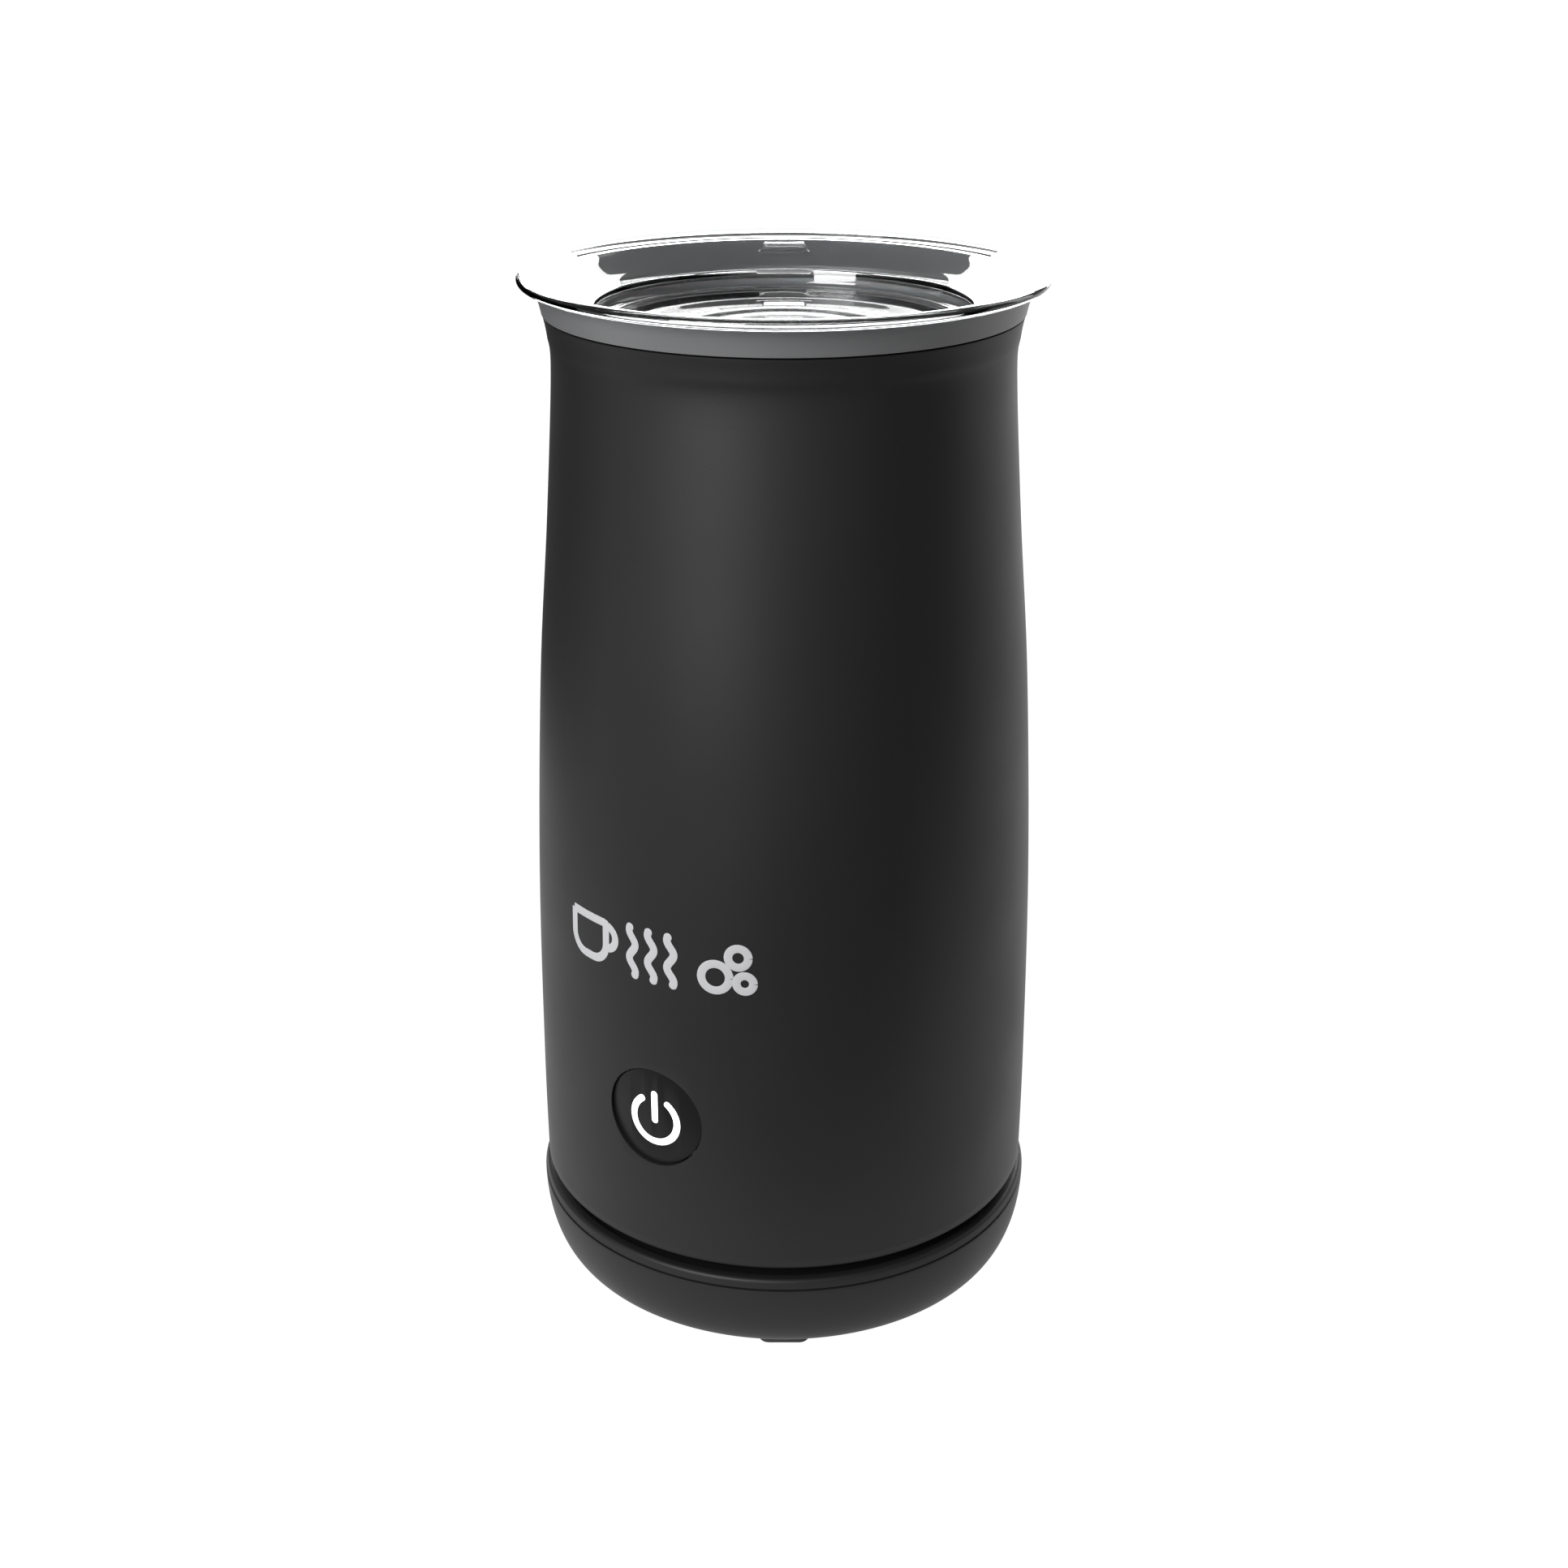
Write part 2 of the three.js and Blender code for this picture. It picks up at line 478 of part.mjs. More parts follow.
// The three-armed plate that the motor hangs from. It is held between the chassis posts and the cradle.
function motorBracket() {
  const { lowZ, topZ, r, postR, postRadius } = BRACKET;
  const arms = [0, 120, 240].map((turn) => {
    const azimuth = POSTS.azimuth + turn;
    const [x, y] = polar(azimuth, ARM.radius);
    const arm = block(ARM.width, ARM.length, topZ - lowZ).rotateZ(radians(azimuth));
    return arm.translate(x, y, (lowZ + topZ) / 2);
  });
  const heaterPost = () => post(postR, topZ - 1, HEATER.lowZ - GAP, SCREW_ROUND);
  const heaterPosts = around(heaterPost, postRadius, POSTS.azimuth);
  const [fromZ, toZ] = [lowZ - PAST, topZ + PAST];
  const screwHoles = atHighPosts(POST.boreR, fromZ, toZ, SCREW_ROUND);
  const motorHoles = atMotorScrews(MOTOR_SCREW.boreR, fromZ, toZ);
  const motorHeads = atMotorScrews(2 * MOTOR_SCREW.boreR, topZ - 1.1, toZ);
  const bushHole = post(MOTOR.bushR + GAP, fromZ, toZ);
  const plate = ring(1, r, lowZ, topZ, MIDDLE_ROUND);
  return worked(plate, [...arms, ...heaterPosts], [...screwHoles, ...motorHoles, ...motorHeads, bushHole]);
}

function motorCan() {
  const { r, lowZ, topZ, edge, sheet, shaftR, bushR } = MOTOR;
  const [seatR, boreR, seatZ] = [bushR + GAP, shaftR + GAP, topZ - 2 * sheet];
  const can = turned([
    [0, lowZ], [r - edge, lowZ], [r, lowZ + edge], [r, topZ - edge], [r - edge, topZ], [seatR, topZ],
    [seatR, seatZ], [boreR, seatZ], [boreR, lowZ + sheet], [0, lowZ + sheet],
  ], MIDDLE_ROUND);
  return worked(can, [], atMotorScrews(MOTOR_SCREW.boreR, topZ - 6 * sheet, topZ + PAST));
}

function heaterPlate() {
  const { innerR, outerR, lowZ, topZ } = HEATER;
  const sensorHole = post(SENSOR.r + GAP, lowZ - PAST, topZ + PAST);
  sensorHole.translate(...polar(SENSOR.azimuth, SENSOR.radius), 0);
  return worked(ring(innerR, outerR, lowZ, topZ, MIDDLE_ROUND), [], [sensorHole]);
}

// An open ring of sheathed element with its two ends turned down as terminals.
function heatingElement() {
  const { ringR, tubeR, z: ringZ, endZ, firstAzimuth, lastAzimuth, bend } = ELEMENT;
  const [count, drop] = [16, 5];
  const points = [];
  for (let i = 0; i <= count; i++) {
    const [x, y] = polar(firstAzimuth + (lastAzimuth - firstAzimuth) * i / count, ringR);
    points.push(new THREE.Vector3(x, y, ringZ));
  }
  const dropped = (azimuth, z) => new THREE.Vector3(...polar(azimuth, ringR), z);
  points.unshift(dropped(firstAzimuth - bend, endZ), dropped(firstAzimuth - bend, ringZ - drop));
  points.push(dropped(lastAzimuth + bend, ringZ - drop), dropped(lastAzimuth + bend, endZ));
  return tubeAlong(new THREE.CatmullRomCurve3(points, false, 'catmullrom', 0.4), tubeR, 36, 6);
}

function temperatureSensor() {
  const { azimuth, radius, r, lowZ } = SENSOR;
  const { topZ } = HEATER;
  const [neckR, neckZ, edge] = [r - 0.8, HEATER.lowZ - 2.3, 0.5];
  const body = turned([
    [0, lowZ], [neckR, lowZ], [neckR, neckZ], [r, neckZ], [r, topZ - 2 * edge], [r - edge, topZ], [0, topZ],
  ], PIN_ROUND);
  return body.translate(...polar(azimuth, radius), 0);
}

const motorBush = () =>
  ring(MOTOR.shaftR + GAP, MOTOR.bushR, MOTOR.topZ - 2 * MOTOR.sheet + GAP, BRACKET.topZ - 0.1, MIDDLE_ROUND);

// The pin on the cup's floor that the whisk drops over and turns on.
function whiskPivot() {
  const { baseR, r, tipR, topZ } = PIVOT;
  const lowZ = CUP.floorZ + GAP;
  return turned([
    [0, lowZ], [baseR, lowZ], [baseR, lowZ + 0.5], [r, lowZ + 0.9], [r, topZ - 0.7], [tipR, topZ - 0.1],
    [0, topZ],
  ], MIDDLE_ROUND);
}

// ---------------------------------------------------------------- button
// The power symbol: an upright bar in the gap of an open ring, in the XZ plane, extruded towards -Y.
function symbolParts(widen, fromY, toY) {
  const half = SYMBOL.stroke / 2 + widen;
  const open = radians(SYMBOL.gapHalfAngle);
  const [start, end] = [Math.PI / 2 + open, Math.PI / 2 - open + 2 * Math.PI];
  const onRing = (angle) => [SYMBOL.ringR * Math.cos(angle), SYMBOL.ringR * Math.sin(angle)];
  const openRing = new THREE.Shape();
  openRing.absarc(0, 0, SYMBOL.ringR + half, start, end, false);
  openRing.absarc(...onRing(end), half, end, end + Math.PI, false);
  openRing.absarc(0, 0, SYMBOL.ringR - half, end, start, true);
  openRing.absarc(...onRing(start), half, start + Math.PI, start + 2 * Math.PI, false);
  const bar = new THREE.Shape();
  bar.absarc(0, SYMBOL.barHigh, half, 0, Math.PI, false);
  bar.absarc(0, SYMBOL.barLow, half, Math.PI, 2 * Math.PI, false);
  const options = { depth: toY - fromY, bevelEnabled: false, curveSegments: 5 };
  return [openRing, bar].map((shape) =>
    new THREE.ExtrudeGeometry(shape, options).rotateX(Math.PI / 2).translate(0, toY, SYMBOL.centreZ));
}

// The part of a shape inside a round post about the jug's axis, which gives it the shell's curved face.
function keptInside(geometry, radius) {
  const round = toSolid(post(radius, -2 * BUTTON.r, 2 * BUTTON.r, 60));
  return toGeometry(toSolid(geometry).intersect(round));
}

const BUTTON_FRONT = -(BUTTON.faceR + PAST); // a y value in front of the whole button

function buttonCap() {
  const { r, faceR, backY, skirt, skirtWall } = BUTTON;
  const disc = keptInside(rodAlongY(r, BUTTON_FRONT, backY, MIDDLE_ROUND), faceR);
  const skirtR = r - 0.6;
  const skirtRing = worked(rodAlongY(skirtR, backY - 0.5, backY + skirt, MIDDLE_ROUND), [],
    [rodAlongY(skirtR - skirtWall, backY - 0.6, backY + skirt + PAST, MIDDLE_ROUND)]);
  return worked(disc, [skirtRing], symbolParts(0.2, BUTTON_FRONT, backY + 1));
}

// The clear moulding behind the cap. Its raised symbol fills the cut-outs and its stem works the switch.
function lightGuide() {
  const { faceR, backY } = BUTTON;
  const { r, thickness, stemR, stemToY } = GUIDE;
  const backOfDisc = backY + GAP + thickness;
  const raised = symbolParts(0, BUTTON_FRONT, backY + 1).map((part) => keptInside(part, faceR));
  const stem = rodAlongY(stemR, backOfDisc - 0.5, stemToY, PIN_ROUND);
  return worked(rodAlongY(r, backY + GAP, backOfDisc, MIDDLE_ROUND), [...raised, stem]);
}

// The ring that the cap slides in, with a leg that ties it to the board behind.
function buttonGuide() {
  const { r, frontY, backY, legWidth, legThickness, legHeight } = BUTTON_FRAME;
  const frame = worked(rodAlongY(r, frontY, backY, MIDDLE_ROUND), [],
    [rodAlongY(BUTTON.r + 2 * GAP, frontY - PAST, backY + PAST, MIDDLE_ROUND)]);
  const leg = block(legWidth, legThickness, legHeight, 0, (frontY + backY) / 2 + 0.25, legHeight / 2 - 13.9);
  return worked(frame, [leg]);
}

function buttonBoard() {
  const { width, height, thickness, y } = BUTTON_BOARD;
  const notch = (x) => rodAlongY(NOTCH.r, y - PAST, y + PAST).translate(x, 0, NOTCH.z);
  const notches = [notch(-NOTCH.x), notch(NOTCH.x)];
  return worked(block(width, thickness, height, 0, y, 0), [], notches);
}

function tactSwitch() {
  const { size, thickness, y, plungerR, plungerY } = SWITCH;
  return worked(block(size, thickness, size, 0, y, 0), [rodAlongY(plungerR, plungerY, y, PIN_ROUND)]);
}

function indicatorLamp() {
  const { width, height, thickness, y, z, lensR, lensY } = LAMP;
  return worked(block(width, thickness, height, 0, y, z), [rodAlongY(lensR, lensY, y).translate(0, 0, z)]);
}

// ---------------------------------------------------------------- motor rotor and whisk
const motorShaft = () => post(MOTOR.shaftR, SHAFT.lowZ, SHAFT.topZ, PIN_ROUND);

function magnetCarrier() {
  const { r, lowZ, topZ, bossR, step, magnetR, magnetRadius } = ROTOR;
  const boreR = MOTOR.shaftR + GAP;
  const disc = turned([
    [boreR, lowZ], [bossR, lowZ], [bossR + 1, lowZ + step], [r, lowZ + step], [r, topZ], [boreR, topZ],
  ], MIDDLE_ROUND);
  const pockets = around(() => post(magnetR + GAP, lowZ + step + 1, topZ + PAST), magnetRadius, 90, 2);
  return worked(disc, [], pockets);
}

const driveMagnet = () => post(ROTOR.magnetR, ROTOR.lowZ + ROTOR.step + 1 + GAP, ROTOR.topZ + GAP);
const whiskMagnet = () => post(ROTOR.magnetR, WHISK.baseZ + LOBE.floor + GAP, WHISK.baseTopZ - 0.2);

// The closed bush that turns on the pivot pin and carries the whisk.
function whiskBush() {
  const { r, boreR, lowZ, roofZ, topZ } = WHISK_BUSH;
  const edge = 0.6;
  return turned([
    [0, roofZ], [boreR, roofZ], [boreR, lowZ], [r, lowZ], [r, topZ - edge], [r - edge, topZ], [0, topZ],
  ], MIDDLE_ROUND);
}

// Two round lobes that hold the magnets, one each side of a hub that turns on the bush.
function whiskHub() {
  const { baseZ, baseTopZ, hubTopZ, hubR, boreR, barWidth } = WHISK;
  const { r, spread, floor } = LOBE;
  const lobes = around(() => post(r, baseZ, baseTopZ), spread, 90, 2);
  const bar = block(2 * spread, barWidth, baseTopZ - baseZ, 0, 0, (baseZ + baseTopZ) / 2);
  const pockets = around(() => post(ROTOR.magnetR + GAP, baseZ + floor, baseTopZ + PAST), spread, 90, 2);
  const bore = post(boreR, baseZ - PAST, hubTopZ + PAST);
  return worked(post(hubR, baseZ, hubTopZ), [...lobes, bar], [...pockets, bore]);
}

// The wire frame that the coil is wound on: a ring, two crossed spokes and a collar on the bush.
function whiskFrame() {
  const { z, ringR, rimR } = COIL;
  const rim = turned(arcPoints([ringR, z], rimR, rimR, 0, 300, 5), MIDDLE_ROUND);
  const spoke = () => block(1.5 * rimR, 2 * ringR, 1.5 * rimR, 0, 0, z);
  const spokes = [spoke(), spoke().rotateZ(Math.PI / 2)];
  const hub = post(WHISK.hubR, WHISK.hubTopZ + GAP, z + rimR);
  return worked(rim, [...spokes, hub], [post(WHISK.boreR, WHISK.hubTopZ, z + PAST)]);
}

// A helix bent into a ring, with a small opening where its two ends meet.
class CoilRound extends THREE.Curve {
  getPoint(t, target = new THREE.Vector3()) {
    const opening = 0.02;
    const turn = 2 * Math.PI * (opening / 2 + (1 - opening) * t);
    const wind = COIL.turns * turn;
    const radius = COIL.ringR + COIL.r * Math.cos(wind);
    return target.set(radius * Math.sin(turn), -radius * Math.cos(turn), COIL.z + COIL.r * Math.sin(wind));
  }
}

const whiskCoil = () =>
  tubeAlong(new CoilRound(), COIL.wireR, COIL.turns * COIL_DETAIL.stepsPerTurn, COIL_DETAIL.sides);

// ---------------------------------------------------------------- lid
// One clear moulding: a flat well, its upright wall, a sloped wall and a flange with a rounded nose.
function lidCover() {
  const { flangeR, topZ, wellR, wellZ, sheet } = LID;
  const { noseR, noseHeight } = FLANGE;
  const nose = arcPoints([flangeR - noseR, topZ - noseHeight], noseR, noseHeight, 130, -90, 5);
  const above = [
    [0, wellZ], [wellR - 1.2, wellZ], [wellR - 0.4, wellZ + 0.6], [wellR, wellZ + 3.5],
    [wellR + 3.7, topZ - 4.9], [wellR + 7.2, topZ - 3], [wellR + 9.8, topZ - 1.8],
  ];
  const below = [
    [flangeR - 3, topZ - 2], [flangeR - 3.9, topZ - 2.35], [wellR + 9.2, topZ - 2.9],
    [wellR + 4.1, topZ - 6.1], [wellR + 1.3, topZ - 7.5],
    [wellR + 1.2, wellZ - 0.6], [wellR - 0.2, wellZ - sheet], [0, wellZ - sheet],
  ];
  return worked(turned([...above, ...nose, ...below]), [], [ventPocket()]);
}

// The small four-sided vent pocket in the lid's sloped wall, wider on its inner side.
function ventPocket() {
  const { wide, narrow, halfDepth, slope, radius, z, height } = VENT;
  const corners = [[-wide, halfDepth], [-narrow, -halfDepth], [narrow, -halfDepth], [wide, halfDepth]];
  const outline = new THREE.Shape(corners.map(([x, y]) => new THREE.Vector2(x, y)));
  const pocket = new THREE.ExtrudeGeometry(outline, { depth: height, bevelEnabled: false });
  return pocket.rotateX(radians(-slope)).translate(0, -radius, z).rotateZ(radians(LID.turn));
}

// A sleeve round the lid's well with ribs that press on the cup's wall.
function lidSeal() {
  const { lowZ, ribs, pitch, rootWall, ribThickness } = SEAL;
  const [innerR, ribR] = [LID.wellR + 1.6, CUP.r - GAP];
  const rootR = innerR + rootWall;
  const outline = [[innerR, lowZ], [rootR, lowZ]];
  for (let i = 0; i < ribs; i++) {
    const z = lowZ + 0.5 + i * pitch;
    outline.push([ribR, z], [ribR, z + ribThickness], [rootR, z + ribThickness + 0.4]);
  }
  return turned([...outline, [innerR, lowZ + ribs * pitch + ribThickness]]);
}

// ---------------------------------------------------------------- assembly
function powerBase() {
  return assembly(
    piece('base_bowl', baseBowl(), BLACK_SATIN),
    piece('base_top_cover', baseTopCover(), BLACK_SATIN),
    piece('base_connector', baseConnector(), BLACK_GLOSS),
    piece('base_contact_ring_outer', baseContact(CONTACT.outerRadius), BRASS),
    piece('base_contact_ring_inner', baseContact(CONTACT.innerRadius), BRASS),
    piece('base_centre_pin', centrePin(), BRASS),
    piece('base_terminal_block', terminalBlock(), NYLON),
    piece('cord_gland', cordGland(), RUBBER),
    repeated('foot', foot(), RUBBER, FOOT.radius, FOOT.azimuth),
    repeated('base_screw', screw(BASE_SCREW), STEEL, BASE_SCREW.radius, BASE_SCREW.azimuth),
  );
}

function jugSocket() {
  return assembly(
    piece('jug_connector', jugConnector(), BLACK_GLOSS),
    piece('jug_contact_outer', jugContact(CONTACT.outerRadius), BRASS),
    piece('jug_contact_inner', jugContact(CONTACT.innerRadius), BRASS),
  );
}

function jug() {
  const lowScrew = { headR: 2.6, shankR: 1.2, headZ: TRAY.lowZ + 2 * GAP, length: 11 };
  const highScrew = { headR: 2.6, shankR: 1.2, length: 14 };
  const cradleHeadZ = CRADLE.lowZ + CRADLE.floor + GAP + HEAD_HEIGHT;
  const motorScrew = { headR: 2.1, shankR: 0.9, headHeight: 0.8, length: 6.4 };
  return assembly(
    piece('outer_shell', outerShell(), BLACK_SATIN),
    piece('collar', collar(), GREY_BAND),
    piece('inner_cup', innerCup(), COATED_STEEL),
    piece('cup_rim_seal', cupRimSeal(), SILICONE),
    piece('bottom_cover', bottomCover(), BLACK_SATIN),
    piece('chassis', chassis(), NYLON),
    piece('main_board', mainBoard(), BOARD_GREEN),
    piece('relay', relay(), DARK_COMPONENT),
    piece('capacitor', capacitor(), DARK_COMPONENT),
    piece('cup_cradle', cupCradle(), NYLON),
    piece('motor_bracket', motorBracket(), STEEL),
    piece('motor_can', motorCan(), STEEL),
    piece('motor_bush', motorBush(), BRASS),
    piece('heater_plate', heaterPlate(), ALUMINIUM),
    piece('heating_element', heatingElement(), STEEL),
    piece('temperature_sensor', temperatureSensor(), BRASS),
    piece('whisk_pivot', whiskPivot(), STEEL),
    repeated('bottom_screw', screw(lowScrew), STEEL, POSTS.lowRadius, POSTS.azimuth),
    repeated('cradle_screw', screwDown(highScrew, cradleHeadZ), STEEL, POSTS.highRadius, POSTS.azimuth),
    repeated('motor_screw', screwDown(motorScrew, BRACKET.topZ - 0.1), STEEL, MOTOR_SCREW.radius, 0, 2),
    switchGroup(),
  );
}

function switchGroup() {
  const group = assembly(
    piece('button_guide', buttonGuide(), NYLON),
    piece('button_board', buttonBoard(), BOARD_GREEN),
    piece('tact_switch', tactSwitch(), DARK_COMPONENT),
    piece('indicator_lamp', indicatorLamp(), MILK_LIGHT),
  );
  group.position.z = BUTTON.z;
  return group;
}

function button() {
  const group = assembly(
    piece('button_cap', buttonCap(), BLACK_GLOSS),
    piece('light_guide', lightGuide(), MILK_LIGHT),
  );
  group.position.z = BUTTON.z;
  return group;
}

function rotor() {
  return assembly(
    piece('motor_shaft', motorShaft(), STEEL),
    piece('magnet_carrier', magnetCarrier(), NYLON),
    repeated('drive_magnet', driveMagnet(), MAGNET, ROTOR.magnetRadius, 90, 2),
  );
}

function whisk() {
  return assembly(
    piece('whisk_bush', whiskBush(), NYLON),
    piece('whisk_hub', whiskHub(), BLACK_SATIN),
    piece('whisk_frame', whiskFrame(), STEEL),
    piece('whisk_coil', whiskCoil(), STEEL),
    repeated('whisk_magnet', whiskMagnet(), MAGNET, LOBE.spread, 90, 2),
  );
}

function lid() {
  return assembly(piece('lid_cover', lidCover(), CLEAR_COVER), piece('lid_seal', lidSeal(), SILICONE));
}

export default assembly(powerBase(), jugSocket(), jug(), button(), rotor(), whisk(), lid());
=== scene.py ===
# %% [markdown]
# # A cordless milk frother, built piece by piece
# The frother is a tall black jug on a round power base. A grey band runs under its clear, dished lid, and a
# round button sits low on its side. The engineering model arrives as a fixed frame of named nodes grouped
# in bodies, and this lesson gives the parts that show a fine surface and gives every part its finish.
# Heights and radii are written in millimetres, because the drawing of such an object is, and one factor
# turns them into Blender's metres.

# %% Load the frame
import math

import bpy
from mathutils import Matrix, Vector


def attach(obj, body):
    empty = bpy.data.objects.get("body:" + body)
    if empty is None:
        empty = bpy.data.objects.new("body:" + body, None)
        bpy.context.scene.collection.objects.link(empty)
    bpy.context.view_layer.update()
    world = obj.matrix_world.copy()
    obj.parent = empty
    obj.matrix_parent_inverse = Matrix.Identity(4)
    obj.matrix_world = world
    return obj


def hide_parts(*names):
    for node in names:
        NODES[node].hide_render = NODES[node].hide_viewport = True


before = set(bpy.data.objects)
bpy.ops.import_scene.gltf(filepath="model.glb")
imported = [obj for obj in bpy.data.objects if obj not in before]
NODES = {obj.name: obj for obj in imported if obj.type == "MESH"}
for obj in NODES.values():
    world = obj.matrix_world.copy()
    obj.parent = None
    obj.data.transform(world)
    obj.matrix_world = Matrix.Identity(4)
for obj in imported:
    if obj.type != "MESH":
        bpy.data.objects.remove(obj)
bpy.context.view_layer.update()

MM = 0.001

# %% [markdown]
# ## The camera first
# Every choice of shape and finish is judged through the camera, so it is set up before anything is
# modelled. It stands 30 degrees round from the button, looking down by 23 degrees at a point half way up,
# with an ordinary 50 mm lens on a 36 mm sensor. A camera is turned towards a point by tracking its -Z axis
# to it.

# %% Camera
CAMERA_AZIMUTH = math.radians(30)
CAMERA_PITCH = math.radians(23.11)
CAMERA_DISTANCE = 436 * MM
AIM = Vector((0, 0, 103 * MM))


def direction(azimuth, pitch):
    """A unit vector from the jug: azimuth 0 is the button's side (-Y), pitch is above the horizontal."""
    flat = math.cos(pitch)
    return Vector((math.sin(azimuth) * flat, -math.cos(azimuth) * flat, math.sin(pitch)))


def look_at(thing, point):
    thing.rotation_euler = (point - thing.location).to_track_quat('-Z', 'Y').to_euler()


camera_data = bpy.data.cameras.new("camera")
camera_data.lens = 50
camera_data.sensor_width = 36
camera = bpy.data.objects.new("camera", camera_data)
camera.location = AIM + CAMERA_DISTANCE * direction(CAMERA_AZIMUTH, CAMERA_PITCH)
look_at(camera, AIM)
bpy.context.scene.collection.objects.link(camera)
bpy.context.scene.camera = camera
bpy.context.scene.view_settings.view_transform = 'Standard'
print("camera at", [round(value, 4) for value in camera.location])

# %% [markdown]
# ## A white studio
# The jug stands on a white sweep that glows by itself, as a lit acrylic table does, so its shadow stays
# faint. Black plastic shows only what it reflects. A low, tall panel behind the jug whitens the lid's well,
# a panel on the left draws the soft streak down the body, and a weak one lights the far side. Two black
# flags beside the jug and a third on the floor before it keep the white floor out of its edges. The camera
# sees neither panels nor flags, but reflections do.

# %% Floor, world and panels
FLOOR_SIZE = 14.0
WORLD_STRENGTH = 0.3
FLOOR_GLOW = 1.0

world = bpy.data.worlds.new("studio")
bpy.context.scene.world = world
world.use_nodes = True
world.node_tree.nodes["Background"].inputs["Color"].default_value = (1, 1, 1, 1)
world.node_tree.nodes["Background"].inputs["Strength"].default_value = WORLD_STRENGTH

bpy.ops.object.select_all(action='DESELECT')
bpy.ops.mesh.primitive_plane_add(size=FLOOR_SIZE)
floor = bpy.context.object
floor.name = "floor"
floor_paint = bpy.data.materials.new("white_sweep")
floor_paint.use_nodes = True
floor_shader = floor_paint.node_tree.nodes["Principled BSDF"]
floor_shader.inputs["Base Color"].default_value = (0.03, 0.03, 0.03, 1)
floor_shader.inputs["Roughness"].default_value = 0.9
floor_shader.inputs["Specular IOR Level"].default_value = 0.1
floor_shader.inputs["Emission Color"].default_value = (1, 1, 1, 1)
floor_shader.inputs["Emission Strength"].default_value = FLOOR_GLOW
floor.data.materials.append(floor_paint)


def deselect_all():
    if bpy.context.mode != 'OBJECT':
        bpy.ops.object.mode_set(mode='OBJECT')
    bpy.ops.object.select_all(action='DESELECT')


def panel(name, azimuth, pitch, distance, width, height, power):
    """A soft light panel placed by its direction from the jug, in degrees, and facing it."""
    light = bpy.data.lights.new(name, 'AREA')
    light.shape = 'RECTANGLE'
    light.size = width
    light.size_y = height
    light.energy = power
    lamp = bpy.data.objects.new(name, light)
    lamp.location = AIM + distance * direction(math.radians(azimuth), math.radians(pitch))
    look_at(lamp, AIM)
    lamp.visible_camera = False
    bpy.context.scene.collection.objects.link(lamp)


panel("panel_back", 210, 18, 1.6, 2.2, 1.2, 58)
panel("panel_left", -3, 25, 0.75, 0.36, 0.5, 10)
panel("panel_right", 150, 25, 1.8, 0.5, 1.4, 5)

flag_cloth = bpy.data.materials.new("black_cloth")
flag_cloth.use_nodes = True
flag_shader = flag_cloth.node_tree.nodes["Principled BSDF"]
flag_shader.inputs["Base Color"].default_value = (0.004, 0.004, 0.004, 1)
flag_shader.inputs["Specular IOR Level"].default_value = 0


def black_flag(name, azimuth, distance, width, height, upright=True):
    """A black card that only reflections see. It stands just over the floor, or lies on it."""
    deselect_all()
    bpy.ops.mesh.primitive_plane_add(size=1)
    card = bpy.context.object
    card.name = name
    card.dimensions = (width, height, 0)
    rise = height / 2 + 0.002 if upright else 0.001
    card.location = distance * direction(math.radians(azimuth), 0) + Vector((0, 0, rise))
    card.rotation_euler = (math.pi / 2 if upright else 0, 0, math.radians(azimuth))
    card.data.materials.append(flag_cloth)
    card.visible_camera = False
    card.visible_shadow = False


black_flag("flag_floor", 30, 0.56, 1.6, 0.9, upright=False)
black_flag("flag_left", -95, 0.33, 0.45, 0.27)
black_flag("flag_right", 93, 0.33, 0.32, 0.27)
print("studio: floor, world, three panels and three black flags")

# %% [markdown]
# ## Turning on a lathe
# Almost every part of this object is round. In Blender that is the spin tool: an outline is drawn as a
# chain of vertices on one side of the axis, by extruding a single vertex from point to point, and is then
# spun round Z. Spinning leaves the first and last copies, and all the points on the axis, on top of each
# other, so they are merged, and only then are the faces turned outwards. A bevel on the sharp rings gives
# the small radii that catch light.

# %% Lathe helpers
SPIN_STEPS = 144
MERGE = 1e-6


def pick(piece):
    """Makes this piece the only one selected, and the active one."""
    deselect_all()
    piece.select_set(True)
    bpy.context.view_layer.objects.active = piece


def arc(centre, radii, start, end, steps):
    """Points of a round or elliptical stretch of an outline, with angles in degrees."""
    points = []
    for i in range(steps + 1):
        angle = math.radians(start + (end - start) * i / steps)
        points.append((centre[0] + radii[0] * math.cos(angle), centre[1] + radii[1] * math.sin(angle)))
    return points


def flowing(points, steps):
    """A smooth line through the points, with that many steps between each two (a Catmull-Rom curve)."""
    line = [points[0]]
    for i in range(len(points) - 1):
        before, here, there, after = (points[max(i - 1, 0)], points[i], points[i + 1],
                                      points[min(i + 2, len(points) - 1)])
        for step in range(1, steps + 1):
            t = step / steps
            line.append(tuple(
                0.5 * (2 * q + (r - p) * t + (2 * p - 5 * q + 4 * r - s) * t**2
                       + (3 * q - p - 3 * r + s) * t**3)
                for p, q, r, s in zip(before, here, there, after)))
    return line


